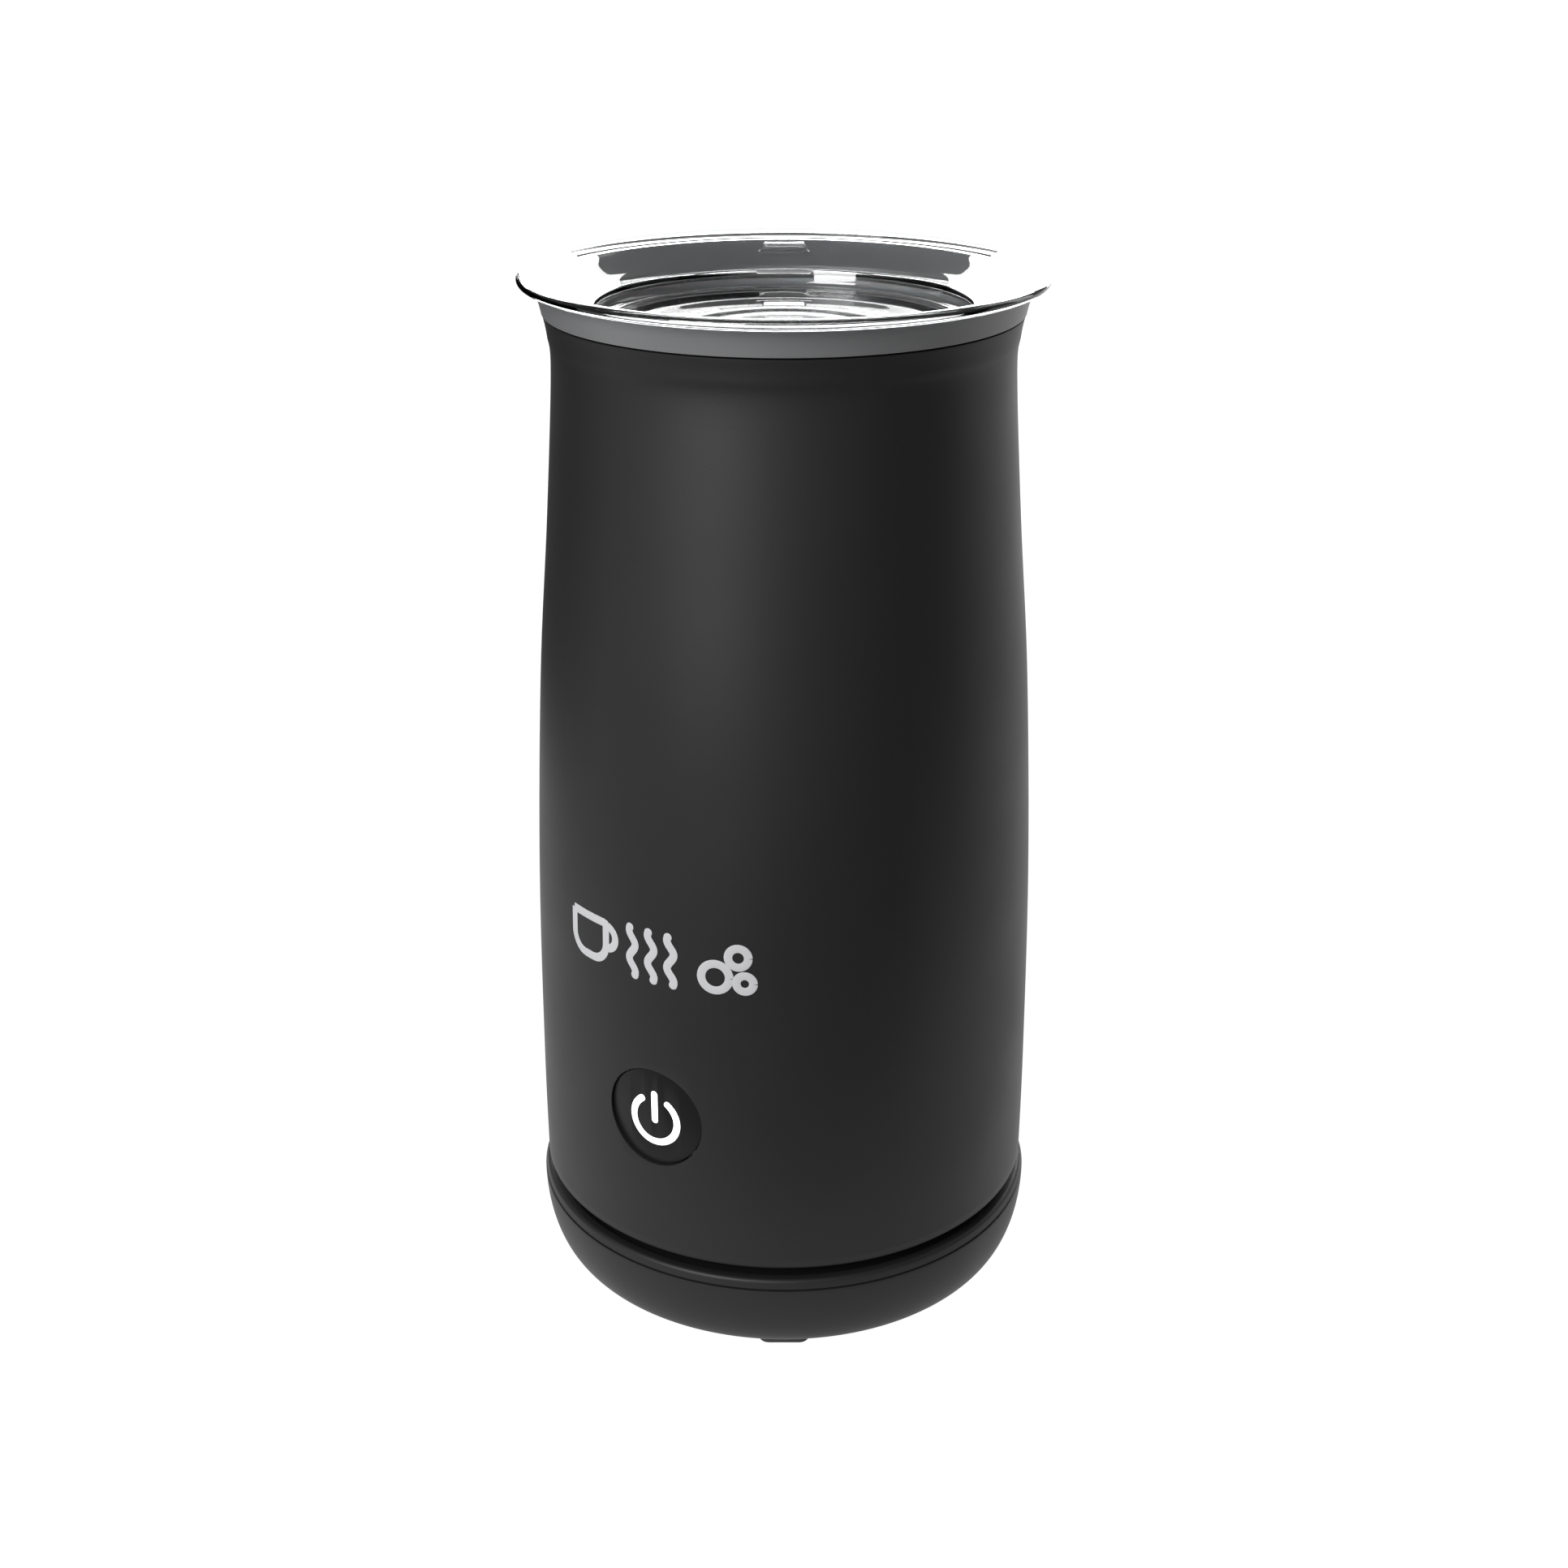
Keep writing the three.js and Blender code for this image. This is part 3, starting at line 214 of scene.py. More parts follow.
def spun(name, outline, steps=SPIN_STEPS):
    """A piece of revolution about Z from (radius, height) points in mm, closed on the axis or on itself."""
    deselect_all()
    bpy.ops.mesh.primitive_plane_add(size=MM)
    piece = bpy.context.object
    piece.name = piece.data.name = name
    bpy.ops.object.mode_set(mode='EDIT')
    bpy.ops.mesh.merge(type='CENTER')
    on_axis = outline[0][0] == 0 and outline[-1][0] == 0
    chain = list(outline) if on_axis else [*outline, outline[0]]
    bpy.ops.transform.translate(value=(chain[0][0] * MM, 0, chain[0][1] * MM))
    for (r0, z0), (r1, z1) in zip(chain, chain[1:]):
        step = ((r1 - r0) * MM, 0, (z1 - z0) * MM)
        bpy.ops.mesh.extrude_region_move(TRANSFORM_OT_translate={"value": step})
    bpy.ops.mesh.select_all(action='SELECT')
    bpy.ops.mesh.spin(steps=steps, angle=2 * math.pi, center=(0, 0, 0), axis=(0, 0, 1))
    bpy.ops.mesh.select_all(action='SELECT')
    bpy.ops.mesh.remove_doubles(threshold=MERGE)
    bpy.ops.mesh.normals_make_consistent(inside=False)
    bpy.ops.object.mode_set(mode='OBJECT')
    return piece


def soften(piece, width, segments=3, angle=38):
    """Rounds every edge sharper than the angle by a small width in mm, and smooths the shading between."""
    pick(piece)
    bevel = piece.modifiers.new("edge_radius", 'BEVEL')
    bevel.width = width * MM
    bevel.segments = segments
    bevel.limit_method = 'ANGLE'
    bevel.angle_limit = math.radians(angle)
    bpy.ops.object.modifier_apply(modifier=bevel.name)
    bpy.ops.object.shade_smooth_by_angle(angle=math.radians(angle))
    return piece


def count(piece):
    return f"{piece.name}: {sum(len(face.vertices) - 2 for face in piece.data.polygons)} triangles"


# %% [markdown]
# ## Cutting and joining
# Holes, pockets and bosses come from the Boolean modifier, as they would from a drill or a mould insert.
# The tool is a plain rod or plate that is thrown away after the cut. Its transform is applied first, so
# that every mesh in the scene keeps its place in its vertices.

# %% Cutting helpers
def rod(radius, low, high, at=(0, 0), sides=48):
    """A tool or core: an upright rod between two heights, in mm."""
    deselect_all()
    bpy.ops.mesh.primitive_cylinder_add(vertices=sides, radius=radius * MM, depth=(high - low) * MM,
                                        location=(at[0] * MM, at[1] * MM, (low + high) / 2 * MM))
    bpy.ops.object.transform_apply(location=True, rotation=True, scale=True)
    return bpy.context.object


def rod_along_y(radius, start, end, height=0, x=0, sides=72):
    """The same, lying along Y between two y values, at a height."""
    deselect_all()
    bpy.ops.mesh.primitive_cylinder_add(vertices=sides, radius=radius * MM, depth=(end - start) * MM,
                                        location=(x * MM, (start + end) / 2 * MM, height * MM),
                                        rotation=(math.pi / 2, 0, 0))
    bpy.ops.object.transform_apply(location=True, rotation=True, scale=True)
    return bpy.context.object


def plate(size, centre, corner=0.0, turn=0.0, segments=6):
    """An upright-edged plate, its corners rounded in plan, turned about Z through its own centre.

    The upright edges are picked in edge selection. Picked by vertices, they would bring the others along.
    """
    deselect_all()
    bpy.ops.mesh.primitive_cube_add(size=MM, location=[value * MM for value in centre], scale=size,
                                    rotation=(0, 0, math.radians(turn)))
    block = bpy.context.object
    bpy.ops.object.transform_apply(location=True, rotation=True, scale=True)
    if corner:
        bpy.ops.object.mode_set(mode='EDIT')
        bpy.ops.mesh.select_mode(type='EDGE')
        bpy.ops.mesh.select_all(action='DESELECT')
        bpy.ops.object.mode_set(mode='OBJECT')
        for edge in block.data.edges:
            ends = [block.data.vertices[i].co for i in edge.vertices]
            edge.select = abs(ends[0].z - ends[1].z) > 0.5 * size[2] * MM
        bpy.ops.object.mode_set(mode='EDIT')
        bpy.ops.mesh.bevel(offset=corner * MM, segments=segments)
        bpy.ops.mesh.select_mode(type='VERT')
        bpy.ops.object.mode_set(mode='OBJECT')
    return block


def worked(piece, tool, operation):
    """Applies one Boolean to the piece and throws the tool away."""
    pick(piece)
    boolean = piece.modifiers.new("work", 'BOOLEAN')
    boolean.operation = operation
    boolean.object = tool
    boolean.solver = 'EXACT'
    bpy.ops.object.modifier_apply(modifier=boolean.name)
    bpy.data.objects.remove(tool)
    return piece


def cut(piece, *tools):
    for tool in tools:
        worked(piece, tool, 'DIFFERENCE')
    return piece


def join(piece, *cores):
    for core in cores:
        worked(piece, core, 'UNION')
    return piece


def ring_of_three(azimuth, radius):
    """Three (turn, (x, y)) places, evenly spaced round Z. An azimuth starts at -Y and grows towards +X."""
    places = []
    for turn in (azimuth, azimuth + 120, azimuth + 240):
        angle = math.radians(turn)
        places.append((turn, (radius * math.sin(angle), -radius * math.cos(angle))))
    return places


# %% [markdown]
# ## Finishes
# Each finish is a small node tree on the Principled shader. A plain colour looks like a drawing, so each
# one gets the fine structure of its real surface: a noise on Object coordinates drives a shallow bump and
# moves the roughness a little up and down. Object coordinates are in metres here, so a noise scale of 1000
# has grains of about a millimetre. Values that are the same all over are set on the shader itself.

# %% Material helpers
def finish(name, colour, roughness, metallic=0.0, **sockets):
    material = bpy.data.materials.new(name)
    material.use_nodes = True
    shader = material.node_tree.nodes["Principled BSDF"]
    shader.inputs["Base Color"].default_value = (*colour, 1)
    shader.inputs["Roughness"].default_value = roughness
    shader.inputs["Metallic"].default_value = metallic
    for label, value in sockets.items():
        shader.inputs[label.replace("_", " ")].default_value = value
    return material


def object_noise(material, grains_per_mm, detail=3.0, stretch=(1, 1, 1)):
    """A noise that stays with the piece, with its grain size given per millimetre."""
    nodes, links = material.node_tree.nodes, material.node_tree.links
    place = nodes.new("ShaderNodeTexCoord")
    mapping = nodes.new("ShaderNodeMapping")
    mapping.inputs["Scale"].default_value = stretch
    noise = nodes.new("ShaderNodeTexNoise")
    noise.inputs["Scale"].default_value = grains_per_mm / MM
    noise.inputs["Detail"].default_value = detail
    links.new(place.outputs["Object"], mapping.inputs["Vector"])
    links.new(mapping.outputs["Vector"], noise.inputs["Vector"])
    return noise


def add_bump(material, noise, depth, strength=1.0):
    """Turns a noise into relief of that depth in mm."""
    nodes, links = material.node_tree.nodes, material.node_tree.links
    bump = nodes.new("ShaderNodeBump")
    bump.inputs["Distance"].default_value = depth * MM
    bump.inputs["Strength"].default_value = strength
    links.new(noise.outputs["Fac"], bump.inputs["Height"])
    links.new(bump.outputs["Normal"], nodes["Principled BSDF"].inputs["Normal"])
    return material


def vary_roughness(material, noise, low, high):
    nodes, links = material.node_tree.nodes, material.node_tree.links
    spread = nodes.new("ShaderNodeMapRange")
    spread.inputs["From Min"].default_value = 0.3
    spread.inputs["From Max"].default_value = 0.7
    spread.inputs["To Min"].default_value = low
    spread.inputs["To Max"].default_value = high
    links.new(noise.outputs["Fac"], spread.inputs["Value"])
    links.new(spread.outputs["Result"], nodes["Principled BSDF"].inputs["Roughness"])
    return material


def vary_colour(material, noise, dark, light, low=0.35, high=0.65):
    nodes, links = material.node_tree.nodes, material.node_tree.links
    ramp = nodes.new("ShaderNodeValToRGB")
    ramp.color_ramp.elements[0].position = low
    ramp.color_ramp.elements[0].color = (*dark, 1)
    ramp.color_ramp.elements[1].position = high
    ramp.color_ramp.elements[1].color = (*light, 1)
    links.new(noise.outputs["Fac"], ramp.inputs["Fac"])
    links.new(ramp.outputs["Color"], nodes["Principled BSDF"].inputs["Base Color"])
    return material


def moulded(name, colour, roughness, grains_per_mm=2.5, depth=0.012, spread=0.04, **sockets):
    """Moulded plastic or rubber: a fine spark-eroded grain and a slow drift in roughness."""
    material = finish(name, colour, roughness, **sockets)
    add_bump(material, object_noise(material, grains_per_mm), depth)
    drift = object_noise(material, 0.04, 2.0)
    return vary_roughness(material, drift, roughness - spread, roughness + spread)


def metal(name, colour, roughness, stretch=(1, 1, 12), grains_per_mm=0.6, depth=0.004):
    """Turned or brushed metal: a noise squeezed along one axis makes the fine tool lines."""
    material = finish(name, colour, roughness, metallic=1.0)
    lines = object_noise(material, grains_per_mm, 4.0, stretch)
    add_bump(material, lines, depth)
    return vary_roughness(material, lines, roughness - 0.08, roughness + 0.1)


def wear(piece, material, body, slot, *replaced):
    """Dresses a new piece, lets it ride on its body, and hides the nodes it stands for. The slot argument is
    not used.
    """
    piece.data.materials.clear()
    piece.data.materials.append(material)
    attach(piece, body)
    if replaced:
        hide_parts(*replaced)
    print(count(piece))
    return piece


# %% [markdown]
# The jug and the base are moulded in one black plastic with a soft-touch lacquer: very dark, satin, with a
# broad highlight. The band under the lid is a mid grey satin. The button is smoother and darker than the
# body around it.

# %% Plastics and rubbers
soft_black = moulded("soft_touch_black", (0.0085, 0.0085, 0.0087), 0.48, 3.0, 0.010, 0.025,
                     Specular_IOR_Level=0.2)
connector_black = moulded("connector_black", (0.009, 0.009, 0.0095), 0.34, 2.0, 0.006,
                          Specular_IOR_Level=0.3)
button_black = moulded("button_black", (0.005, 0.005, 0.0052), 0.36, 4.0, 0.004, 0.02,
                       Specular_IOR_Level=0.14)
band_grey = moulded("band_grey", (0.085, 0.086, 0.088), 0.44, 3.0, 0.008, 0.03)
foot_rubber = moulded("foot_rubber", (0.014, 0.014, 0.014), 0.85, 1.6, 0.05, 0.05)
clear_silicone = moulded("clear_silicone", (0.16, 0.165, 0.17), 0.42, 1.2, 0.02, 0.05,
                         Subsurface_Weight=0.2, Subsurface_Scale=0.003)
natural_nylon = moulded("natural_nylon", (0.42, 0.40, 0.35), 0.5, 1.2, 0.02, 0.06)

# %% [markdown]
# The symbol on the button is the front of a milky light guide, lit from behind, so it shines a little by
# itself. The lid is clear polished plastic: full transmission, the refractive index of acrylic, and a
# roughness that is barely above zero and drifts a little, because a moulded sheet is never optically
# perfect.

# %% Light guide and clear lid
milk_light = moulded("milk_light", (0.9, 0.91, 0.92), 0.35, 1.0, 0.004, 0.02,
                     Emission_Color=(1, 1, 1, 1), Emission_Strength=0.85)
clear_lid = finish("clear_lid", (0.97, 0.98, 0.985), 0.02, IOR=1.49, Transmission_Weight=1.0)
vary_roughness(clear_lid, object_noise(clear_lid, 0.03, 2.0), 0.008, 0.03)

# %% [markdown]
# Inside there are metals. The cup has a dark non-stick coat with fine lighter flecks, the pins and rings
# are turned brass, the frame parts are steel, the heater plate is cast aluminium, and the magnets are
# nickel plated.

# %% Metals and boards
steel = metal("brushed_steel", (0.56, 0.57, 0.58), 0.3)
turned_brass = metal("turned_brass", (0.68, 0.50, 0.21), 0.26)
cast_aluminium = metal("cast_aluminium", (0.62, 0.63, 0.64), 0.42, (1, 1, 1), 1.5, 0.03)
nickel = metal("nickel_plate", (0.52, 0.52, 0.50), 0.22, (1, 1, 1), 1.0, 0.003)
coated_steel = moulded("non_stick_coat", (0.035, 0.036, 0.038), 0.36, 1.8, 0.012, 0.05)
flecks = object_noise(coated_steel, 2.4, 1.0)
vary_colour(coated_steel, flecks, (0.028, 0.029, 0.031), (0.12, 0.12, 0.125), 0.6, 0.74)
board_green = moulded("board_green", (0.012, 0.10, 0.045), 0.35, 0.8, 0.01)
tracks = object_noise(board_green, 0.35, 0.0, (1, 6, 1))
vary_colour(board_green, tracks, (0.010, 0.085, 0.04), (0.02, 0.15, 0.06))
component_black = moulded("component_black", (0.02, 0.021, 0.023), 0.5, 2.0, 0.015)
print("finishes:", len(bpy.data.materials))

# %% [markdown]
# ## The outer shell
# The shell is one thin-walled moulding, 100 mm across at its foot. It stays upright for its lower third,
# draws in smoothly to an 86 mm neck, and flares again where it meets the grey band. A few listed
# points carry that line and a smooth curve runs through them; the same line moved in by the wall makes the
# inside. The round hole for the button is drilled afterwards and its edge gets a tiny radius.

# %% Outer shell
WALL = 2.2
SHELL_FOOT = 21.9
SHELL_TOP = 197.6
SHELL_LINE = [(50.1, SHELL_FOOT + 0.8), (50.1, 45), (49.4, 86), (47.4, 128), (44.8, 160), (43.0, 187),
              (43.45, 194), (44.1, SHELL_TOP)]
BUTTON_HEIGHT = 52.2
BUTTON_HOLE = 10.3

shell_outside = flowing(SHELL_LINE, 8)
shell_inside = [(r - WALL, z) for r, z in reversed(shell_outside)]
shell_inside[-1] = (50.1 - WALL, SHELL_FOOT)
outer_shell = spun("shell", [(49.3, SHELL_FOOT), *shell_outside, *shell_inside], 180)
cut(outer_shell, rod_along_y(BUTTON_HOLE, -60, -40, BUTTON_HEIGHT, sides=120))
soften(outer_shell, 0.22, 3, 45)
wear(outer_shell, soft_black, "jug", "body_black", "outer_shell")

# %% [markdown]
# ## The grey band
# The band closes the top of the shell. Its outside carries the shell's flare on to just under the lid's
# flange, its top leans inwards like a funnel for the lid to sit in, and a thin skirt goes down between the
# shell and the cup.

# %% Collar
collar = spun("rim_band", [
    (40.4, 188), (40.4, 197.95), (44.35, 197.95),
    *flowing([(44.35, 198.1), (44.75, 199.9), (45.5, 202.6)], 6),
    (45.0, 202.4), *flowing([(44.2, 201.7), (41.8, 200.0), (39.2, 198.2)], 4), (39.2, 188)])
soften(collar, 0.18, 3)
wear(collar, band_grey, "jug", "grey_band", "collar")

# %% [markdown]
# ## The clear lid
# The lid is a dish moulded in one sheet of clear plastic. From the outside in, it has a rounded,
# hollow-backed flange that hangs over the band, a sloping wall, a short ledge, and a well 70 mm across with
# a flat floor. Light bends where the two faces of the sheet part or meet, so both faces are drawn, with
# arcs at every corner.

# %% Lid
LID_WELL = 34.8
LID_FLOOR = 195.5
LID_SHEET = 1.6
LID_TURN = 210

lid_top = [(0, LID_FLOOR), *arc((LID_WELL - 1.3, LID_FLOOR + 1.2), (1.1, 1.2), -90, -5, 6),
           (LID_WELL, 198.6), (LID_WELL + 0.3, 198.95), (LID_WELL + 3.5, 200.0),
           *flowing([(LID_WELL + 4, 200.25), (42, 202.0), (44.6, 203.2)], 5)]
lid_nose = arc((47.4, 204.0), (1.2, 1.0), 130, -90, 18)
lid_under = [(45.6, 203.0),
             *flowing([(44.7, 202.65), (44.0, 202.1), (38.9, 198.9), (LID_WELL + 1.3, 197.5)], 4),
             (LID_WELL + 1.15, LID_FLOOR - 0.4),
             *arc((LID_WELL - 0.05, LID_FLOOR - 0.5), (1.2, 1.1), -10, -90, 6), (0, LID_FLOOR - LID_SHEET)]
lid = spun("lid", [*lid_top, *lid_nose, *lid_under], 180)

# %% [markdown]
# A small four-sided vent pocket is sunk into the sloping wall, 10 mm wide on its inner side. The tool is a
# plate whose outer edge is pulled in by a scale in edit mode. It is tipped to the slope and swung round to
# the lid's back.

# %% Vent pocket
VENT_RADIUS = 42.2
VENT_HEIGHT = 201.45
VENT_SLOPE = 30
VENT_SIZE = (10.4, 3.4, 4)
VENT_NARROWING = 0.75

vent_tool = plate(VENT_SIZE, (0, 0, VENT_SIZE[2] / 2))
bpy.ops.object.mode_set(mode='EDIT')
bpy.ops.mesh.select_all(action='DESELECT')
bpy.ops.object.mode_set(mode='OBJECT')
for face in vent_tool.data.polygons:
    face.select = face.normal.y < -0.9
bpy.ops.object.mode_set(mode='EDIT')
bpy.ops.transform.resize(value=(VENT_NARROWING, 1, 1))
bpy.ops.object.mode_set(mode='OBJECT')
vent_tool.rotation_euler.x = -math.radians(VENT_SLOPE)
vent_tool.location = (0, -VENT_RADIUS * MM, VENT_HEIGHT * MM)
bpy.ops.object.transform_apply(location=True, rotation=True, scale=True)
vent_tool.rotation_euler.z = math.radians(LID_TURN)
bpy.ops.object.transform_apply(location=True, rotation=True, scale=True)
cut(lid, vent_tool)
soften(lid, 0.15, 3, 32)
wear(lid, clear_lid, "lid", "clear_cover", "lid_cover")

# %% [markdown]
# ## The lid's seal
# A grey, slightly translucent silicone ring grips the cup around the lid's well. It has two lips that bend
# against the steel, and a row of small upright ribs that stiffen it. One rib is modelled, and the others
# are copies of it set round the ring and joined.

# %% Lid seal
SEAL_INNER = LID_WELL + 1.6
SEAL_CORE = SEAL_INNER + 0.7
SEAL_LIP = 37.9
RIBS = 90

seal = spun("seal_ring", [
    (SEAL_INNER, 194), (SEAL_CORE, 194), (SEAL_LIP, 194.5), (SEAL_LIP, 194.9), (SEAL_CORE, 195.3),
    (SEAL_LIP, 195.7), (SEAL_LIP, 196.1), (SEAL_CORE, 196.6), (SEAL_INNER, 196.8)])
soften(seal, 0.12, 2, 30)
rib = plate((0.7, 0.45, 0.75), (0, -(SEAL_INNER + 0.85), 195.3))
soften(rib, 0.12, 2)
ribs = [rib]
for i in range(1, RIBS):
    copy = rib.copy()
    copy.data = rib.data.copy()
    copy.rotation_euler.z = 2 * math.pi * i / RIBS
    bpy.context.scene.collection.objects.link(copy)
    ribs.append(copy)
pick(seal)
for copy in ribs:
    copy.select_set(True)
bpy.ops.object.join()
wear(seal, clear_silicone, "lid", "silicone", "lid_seal")

# %% [markdown]
# ## The power base
# The bowl is a shallow dish whose wall rolls under in a quarter ellipse, which makes the jug seem to float.
# It has three pockets for the feet, three counterbored screw holes under bosses, and a round hole in its
# back wall for the lead's bush.

# %% Base bowl
BASE_RADIUS = 51
BASE_CORNER = 44.9
BASE_SEAM = 17.6
FOOT_HEIGHT = 2.4
FOOT_SIZE = (10, 8)
FOOT_CORNER = 2
FOOT_RADIUS = 39.9
FOOT_AZIMUTH = 30
BASE_SCREW_PLACES = ring_of_three(90, 34)
BOSS_RADIUS = 5
SHANK_HOLE = 1.5
GLAND_HEIGHT = 9.8
GLAND_RADIUS = 3.9

bowl_drop = BASE_SEAM - FOOT_HEIGHT
bowl_round = BASE_RADIUS - BASE_CORNER
bowl = spun("base_bowl_fine", [
    (0, FOOT_HEIGHT), *arc((BASE_CORNER, BASE_SEAM), (bowl_round, bowl_drop), -90, 0, 28),
    *arc((BASE_CORNER, BASE_SEAM), (bowl_round - WALL, bowl_drop - WALL), 0, -90, 18),
    (0, FOOT_HEIGHT + WALL)], 180)
for turn, place in BASE_SCREW_PLACES:
    join(bowl, rod(BOSS_RADIUS, 3.4, 8, place))
    cut(bowl, rod(SHANK_HOLE, 0, 9, place), rod(3.3, 0, 5.3, place))
for turn, (x, y) in ring_of_three(FOOT_AZIMUTH, FOOT_RADIUS):
    cut(bowl, plate((FOOT_SIZE[0] + 0.6, FOOT_SIZE[1] + 0.6, 3.6), (x, y, 1.8), FOOT_CORNER + 0.3, turn))
cut(bowl, rod_along_y(GLAND_RADIUS + 0.3, 40, 60, GLAND_HEIGHT))
soften(bowl, 0.2, 3, 40)
wear(bowl, soft_black, "power_base", "body_black", "base_bowl")

# %% [markdown]
# The deck closes the bowl. Its rim stands up as a slim rounded lip, and the jug sits just inside it. A hole
# in the middle lets the connector through, a skirt locates the deck in the bowl, and three hollow posts
# take the screws.

# %% Base deck
DECK = 18.6
LIP_TOP = 19.8
LIP_RADIUS = 50.6

deck = spun("base_deck", [
    (48.4, 14.6), (48.4, BASE_SEAM + 0.3), (50.8, BASE_SEAM + 0.3),
    *arc((LIP_RADIUS - 0.8, LIP_TOP - 0.8), (0.8, 0.8), 0, 90, 6), (LIP_RADIUS - 2, LIP_TOP),
    (LIP_RADIUS - 2.6, DECK), (14.6, DECK), (14.6, DECK - WALL), (46.2, DECK - WALL), (46.2, 14.6)], 180)
for turn, place in BASE_SCREW_PLACES:
    join(deck, rod(4, 8.3, DECK - WALL + 1, place))
    cut(deck, rod(SHANK_HOLE, 7, 14.6, place))
soften(deck, 0.2, 3, 32)
wear(deck, soft_black, "power_base", "body_black", "base_top_cover")

# %% [markdown]
# ## The connector
# A round plug stands up through the deck. Two brass rings lie in grooves in its top and a brass pin stands
# in its middle, so the jug makes contact at any angle. The socket in the jug is its mirror image, with
# contacts of its own. All seven pieces are outlines on the lathe.

# %% Plug, rings and pin
PLUG_TOP = 27.6
RING_RADII = {"inner": 6.8, "outer": 10.6}


def groove(radius, top, bottom, half=1.0):
    """The four corners of a ring groove in an outline that runs inwards."""
    return [(radius + half, top), (radius + half, bottom), (radius - half, bottom), (radius - half, top)]


plug = spun("connector_plug", [
    (0, 13.6), (18.5, 13.6), (18.5, 16.1), (14.2, 16.1), (14.2, PLUG_TOP - 0.8), (13.4, PLUG_TOP),
    *groove(RING_RADII["outer"], PLUG_TOP, 25), *groove(RING_RADII["inner"], PLUG_TOP, 25),
    (2.6, PLUG_TOP), (2.6, 22), (0, 22)], 96)
soften(plug, 0.2)
wear(plug, connector_black, "power_base", "connector_black", "base_connector")

pin = spun("connector_pin", [(0, 22.3), (2.2, 22.3), (2.2, 29.2), *arc((0, 29.2), (2.2, 1.5), 0, 90, 10)], 48)
soften(pin, 0.15)
wear(pin, turned_brass, "power_base", "brass", "base_centre_pin")


def contact_ring(name, radius, low, high, body, node):
    inner, outer = radius - 0.7, radius + 0.7
    band = spun(name, [(inner, low), (outer, low), (outer, high), (inner, high)], 96)
    soften(band, 0.2)
    return wear(band, turned_brass, body, "brass", node)


for which, radius in RING_RADII.items():
    contact_ring(f"plug_ring_{which}", radius, 25.3, 27.4, "power_base", f"base_contact_ring_{which}")
    contact_ring(f"socket_ring_{which}", radius, 27.9, 30.7, "jug_socket", f"jug_contact_{which}")

# %% Socket in the jug
socket = spun("connector_socket", [
    (3, 29.2), *[point for radius in RING_RADII.values() for point in reversed(groove(radius, 29.2, 31))],
    (14.8, 29.2), (14.8, 19.4), (16.8, 19.4), (16.8, 31.4), (20.5, 31.4), (20.5, 33.6), (3, 33.6)], 96)
soften(socket, 0.2)
wear(socket, connector_black, "jug_socket", "connector_black", "jug_connector")

# %% [markdown]
# ## Under the jug
# The bottom cover closes the jug. It stands on a ring that rests on the deck, has a sleeve round the
# socket, and is held by three screws in counterbores. It is set in from the shell, which makes the dark
# line above the base.

# %% Bottom cover
cover = spun("jug_bottom", [
    (17.3, 20.4), (40, 20.4), (40, 18.9), (44, 18.9), (44, 20.4), (46.6, 20.4), (47.3, 21.2),
    (47.3, 27), (45.6, 27), (45.6, 22.8), (19.6, 22.8), (19.6, 31.1), (17.3, 31.1)], 144)
JUG_SCREW_PLACES = ring_of_three(60, 37)
for turn, place in JUG_SCREW_PLACES:
    join(cover, rod(BOSS_RADIUS, 20.6, 25.4, place))
    cut(cover, rod(SHANK_HOLE, 19, 27, place), rod(3, 19, 23, place))
soften(cover, 0.2, 3, 40)
wear(cover, soft_black, "jug", "body_black", "bottom_cover")

# %% [markdown]
# ## Screws
# The screws underneath are pan heads with a cross recess. The head is spun with its dome, the recess is two
# crossed slots, and the shank ends in a point. One function makes them all, because only their length and
# place differ.

# %% Screws that show
def pan_screw(name, place, turn, head_low, head_radius, length, body, node):
    """A screw driven upwards: its head's flat top is at head_low."""
    x, y = place
    head = 1.6
    shank = 1.2
    screw = spun(name, [
        (0, head_low), (head_radius - 0.7, head_low),
        *arc((head_radius - 0.7, head_low + 0.8), (0.7, 0.8), -90, 0, 5),
        (head_radius, head_low + head), (shank, head_low + head), (shank, head_low + length - 0.8),
        (0, head_low + length)], 40)
    long, short = head_radius * 1.1, head_radius * 0.28
    for slot_size in ((long, short, 1.8), (short, long, 1.8)):
        cut(screw, plate(slot_size, (0, 0, head_low)))
    pick(screw)
    screw.rotation_euler.z = math.radians(turn)
    screw.location = (x * MM, y * MM, 0)
    bpy.ops.object.transform_apply(location=True, rotation=True, scale=True)
    soften(screw, 0.08, 2, 40)
    return wear(screw, steel, body, "steel", node)


for number, (turn, place) in enumerate(BASE_SCREW_PLACES, 1):
    pan_screw(f"base_fixing_{number}", place, turn, 3.4, 3.0, 9, "power_base", f"base_screw_{number}")
for number, (turn, place) in enumerate(JUG_SCREW_PLACES, 1):
    pan_screw(f"jug_fixing_{number}", place, turn, 21.0, 2.6, 11, "jug", f"bottom_screw_{number}")

# %% [markdown]
# ## Feet and the lead's bush
# Three rubber pads sit in the pockets and stand 2.4 mm proud. The bush in the back wall is a stepped rubber
# sleeve. It is spun upright, then laid along Y.

# %% Feet and bush
for number, (turn, (x, y)) in enumerate(ring_of_three(FOOT_AZIMUTH, FOOT_RADIUS), 1):
    pad = plate((*FOOT_SIZE, 3.3), (x, y, 1.65), FOOT_CORNER, turn)
    pad.name = pad.data.name = f"foot_pad_{number}"
    soften(pad, 0.35, 4, 50)
    wear(pad, foot_rubber, "power_base", "rubber", f"foot_{number}")

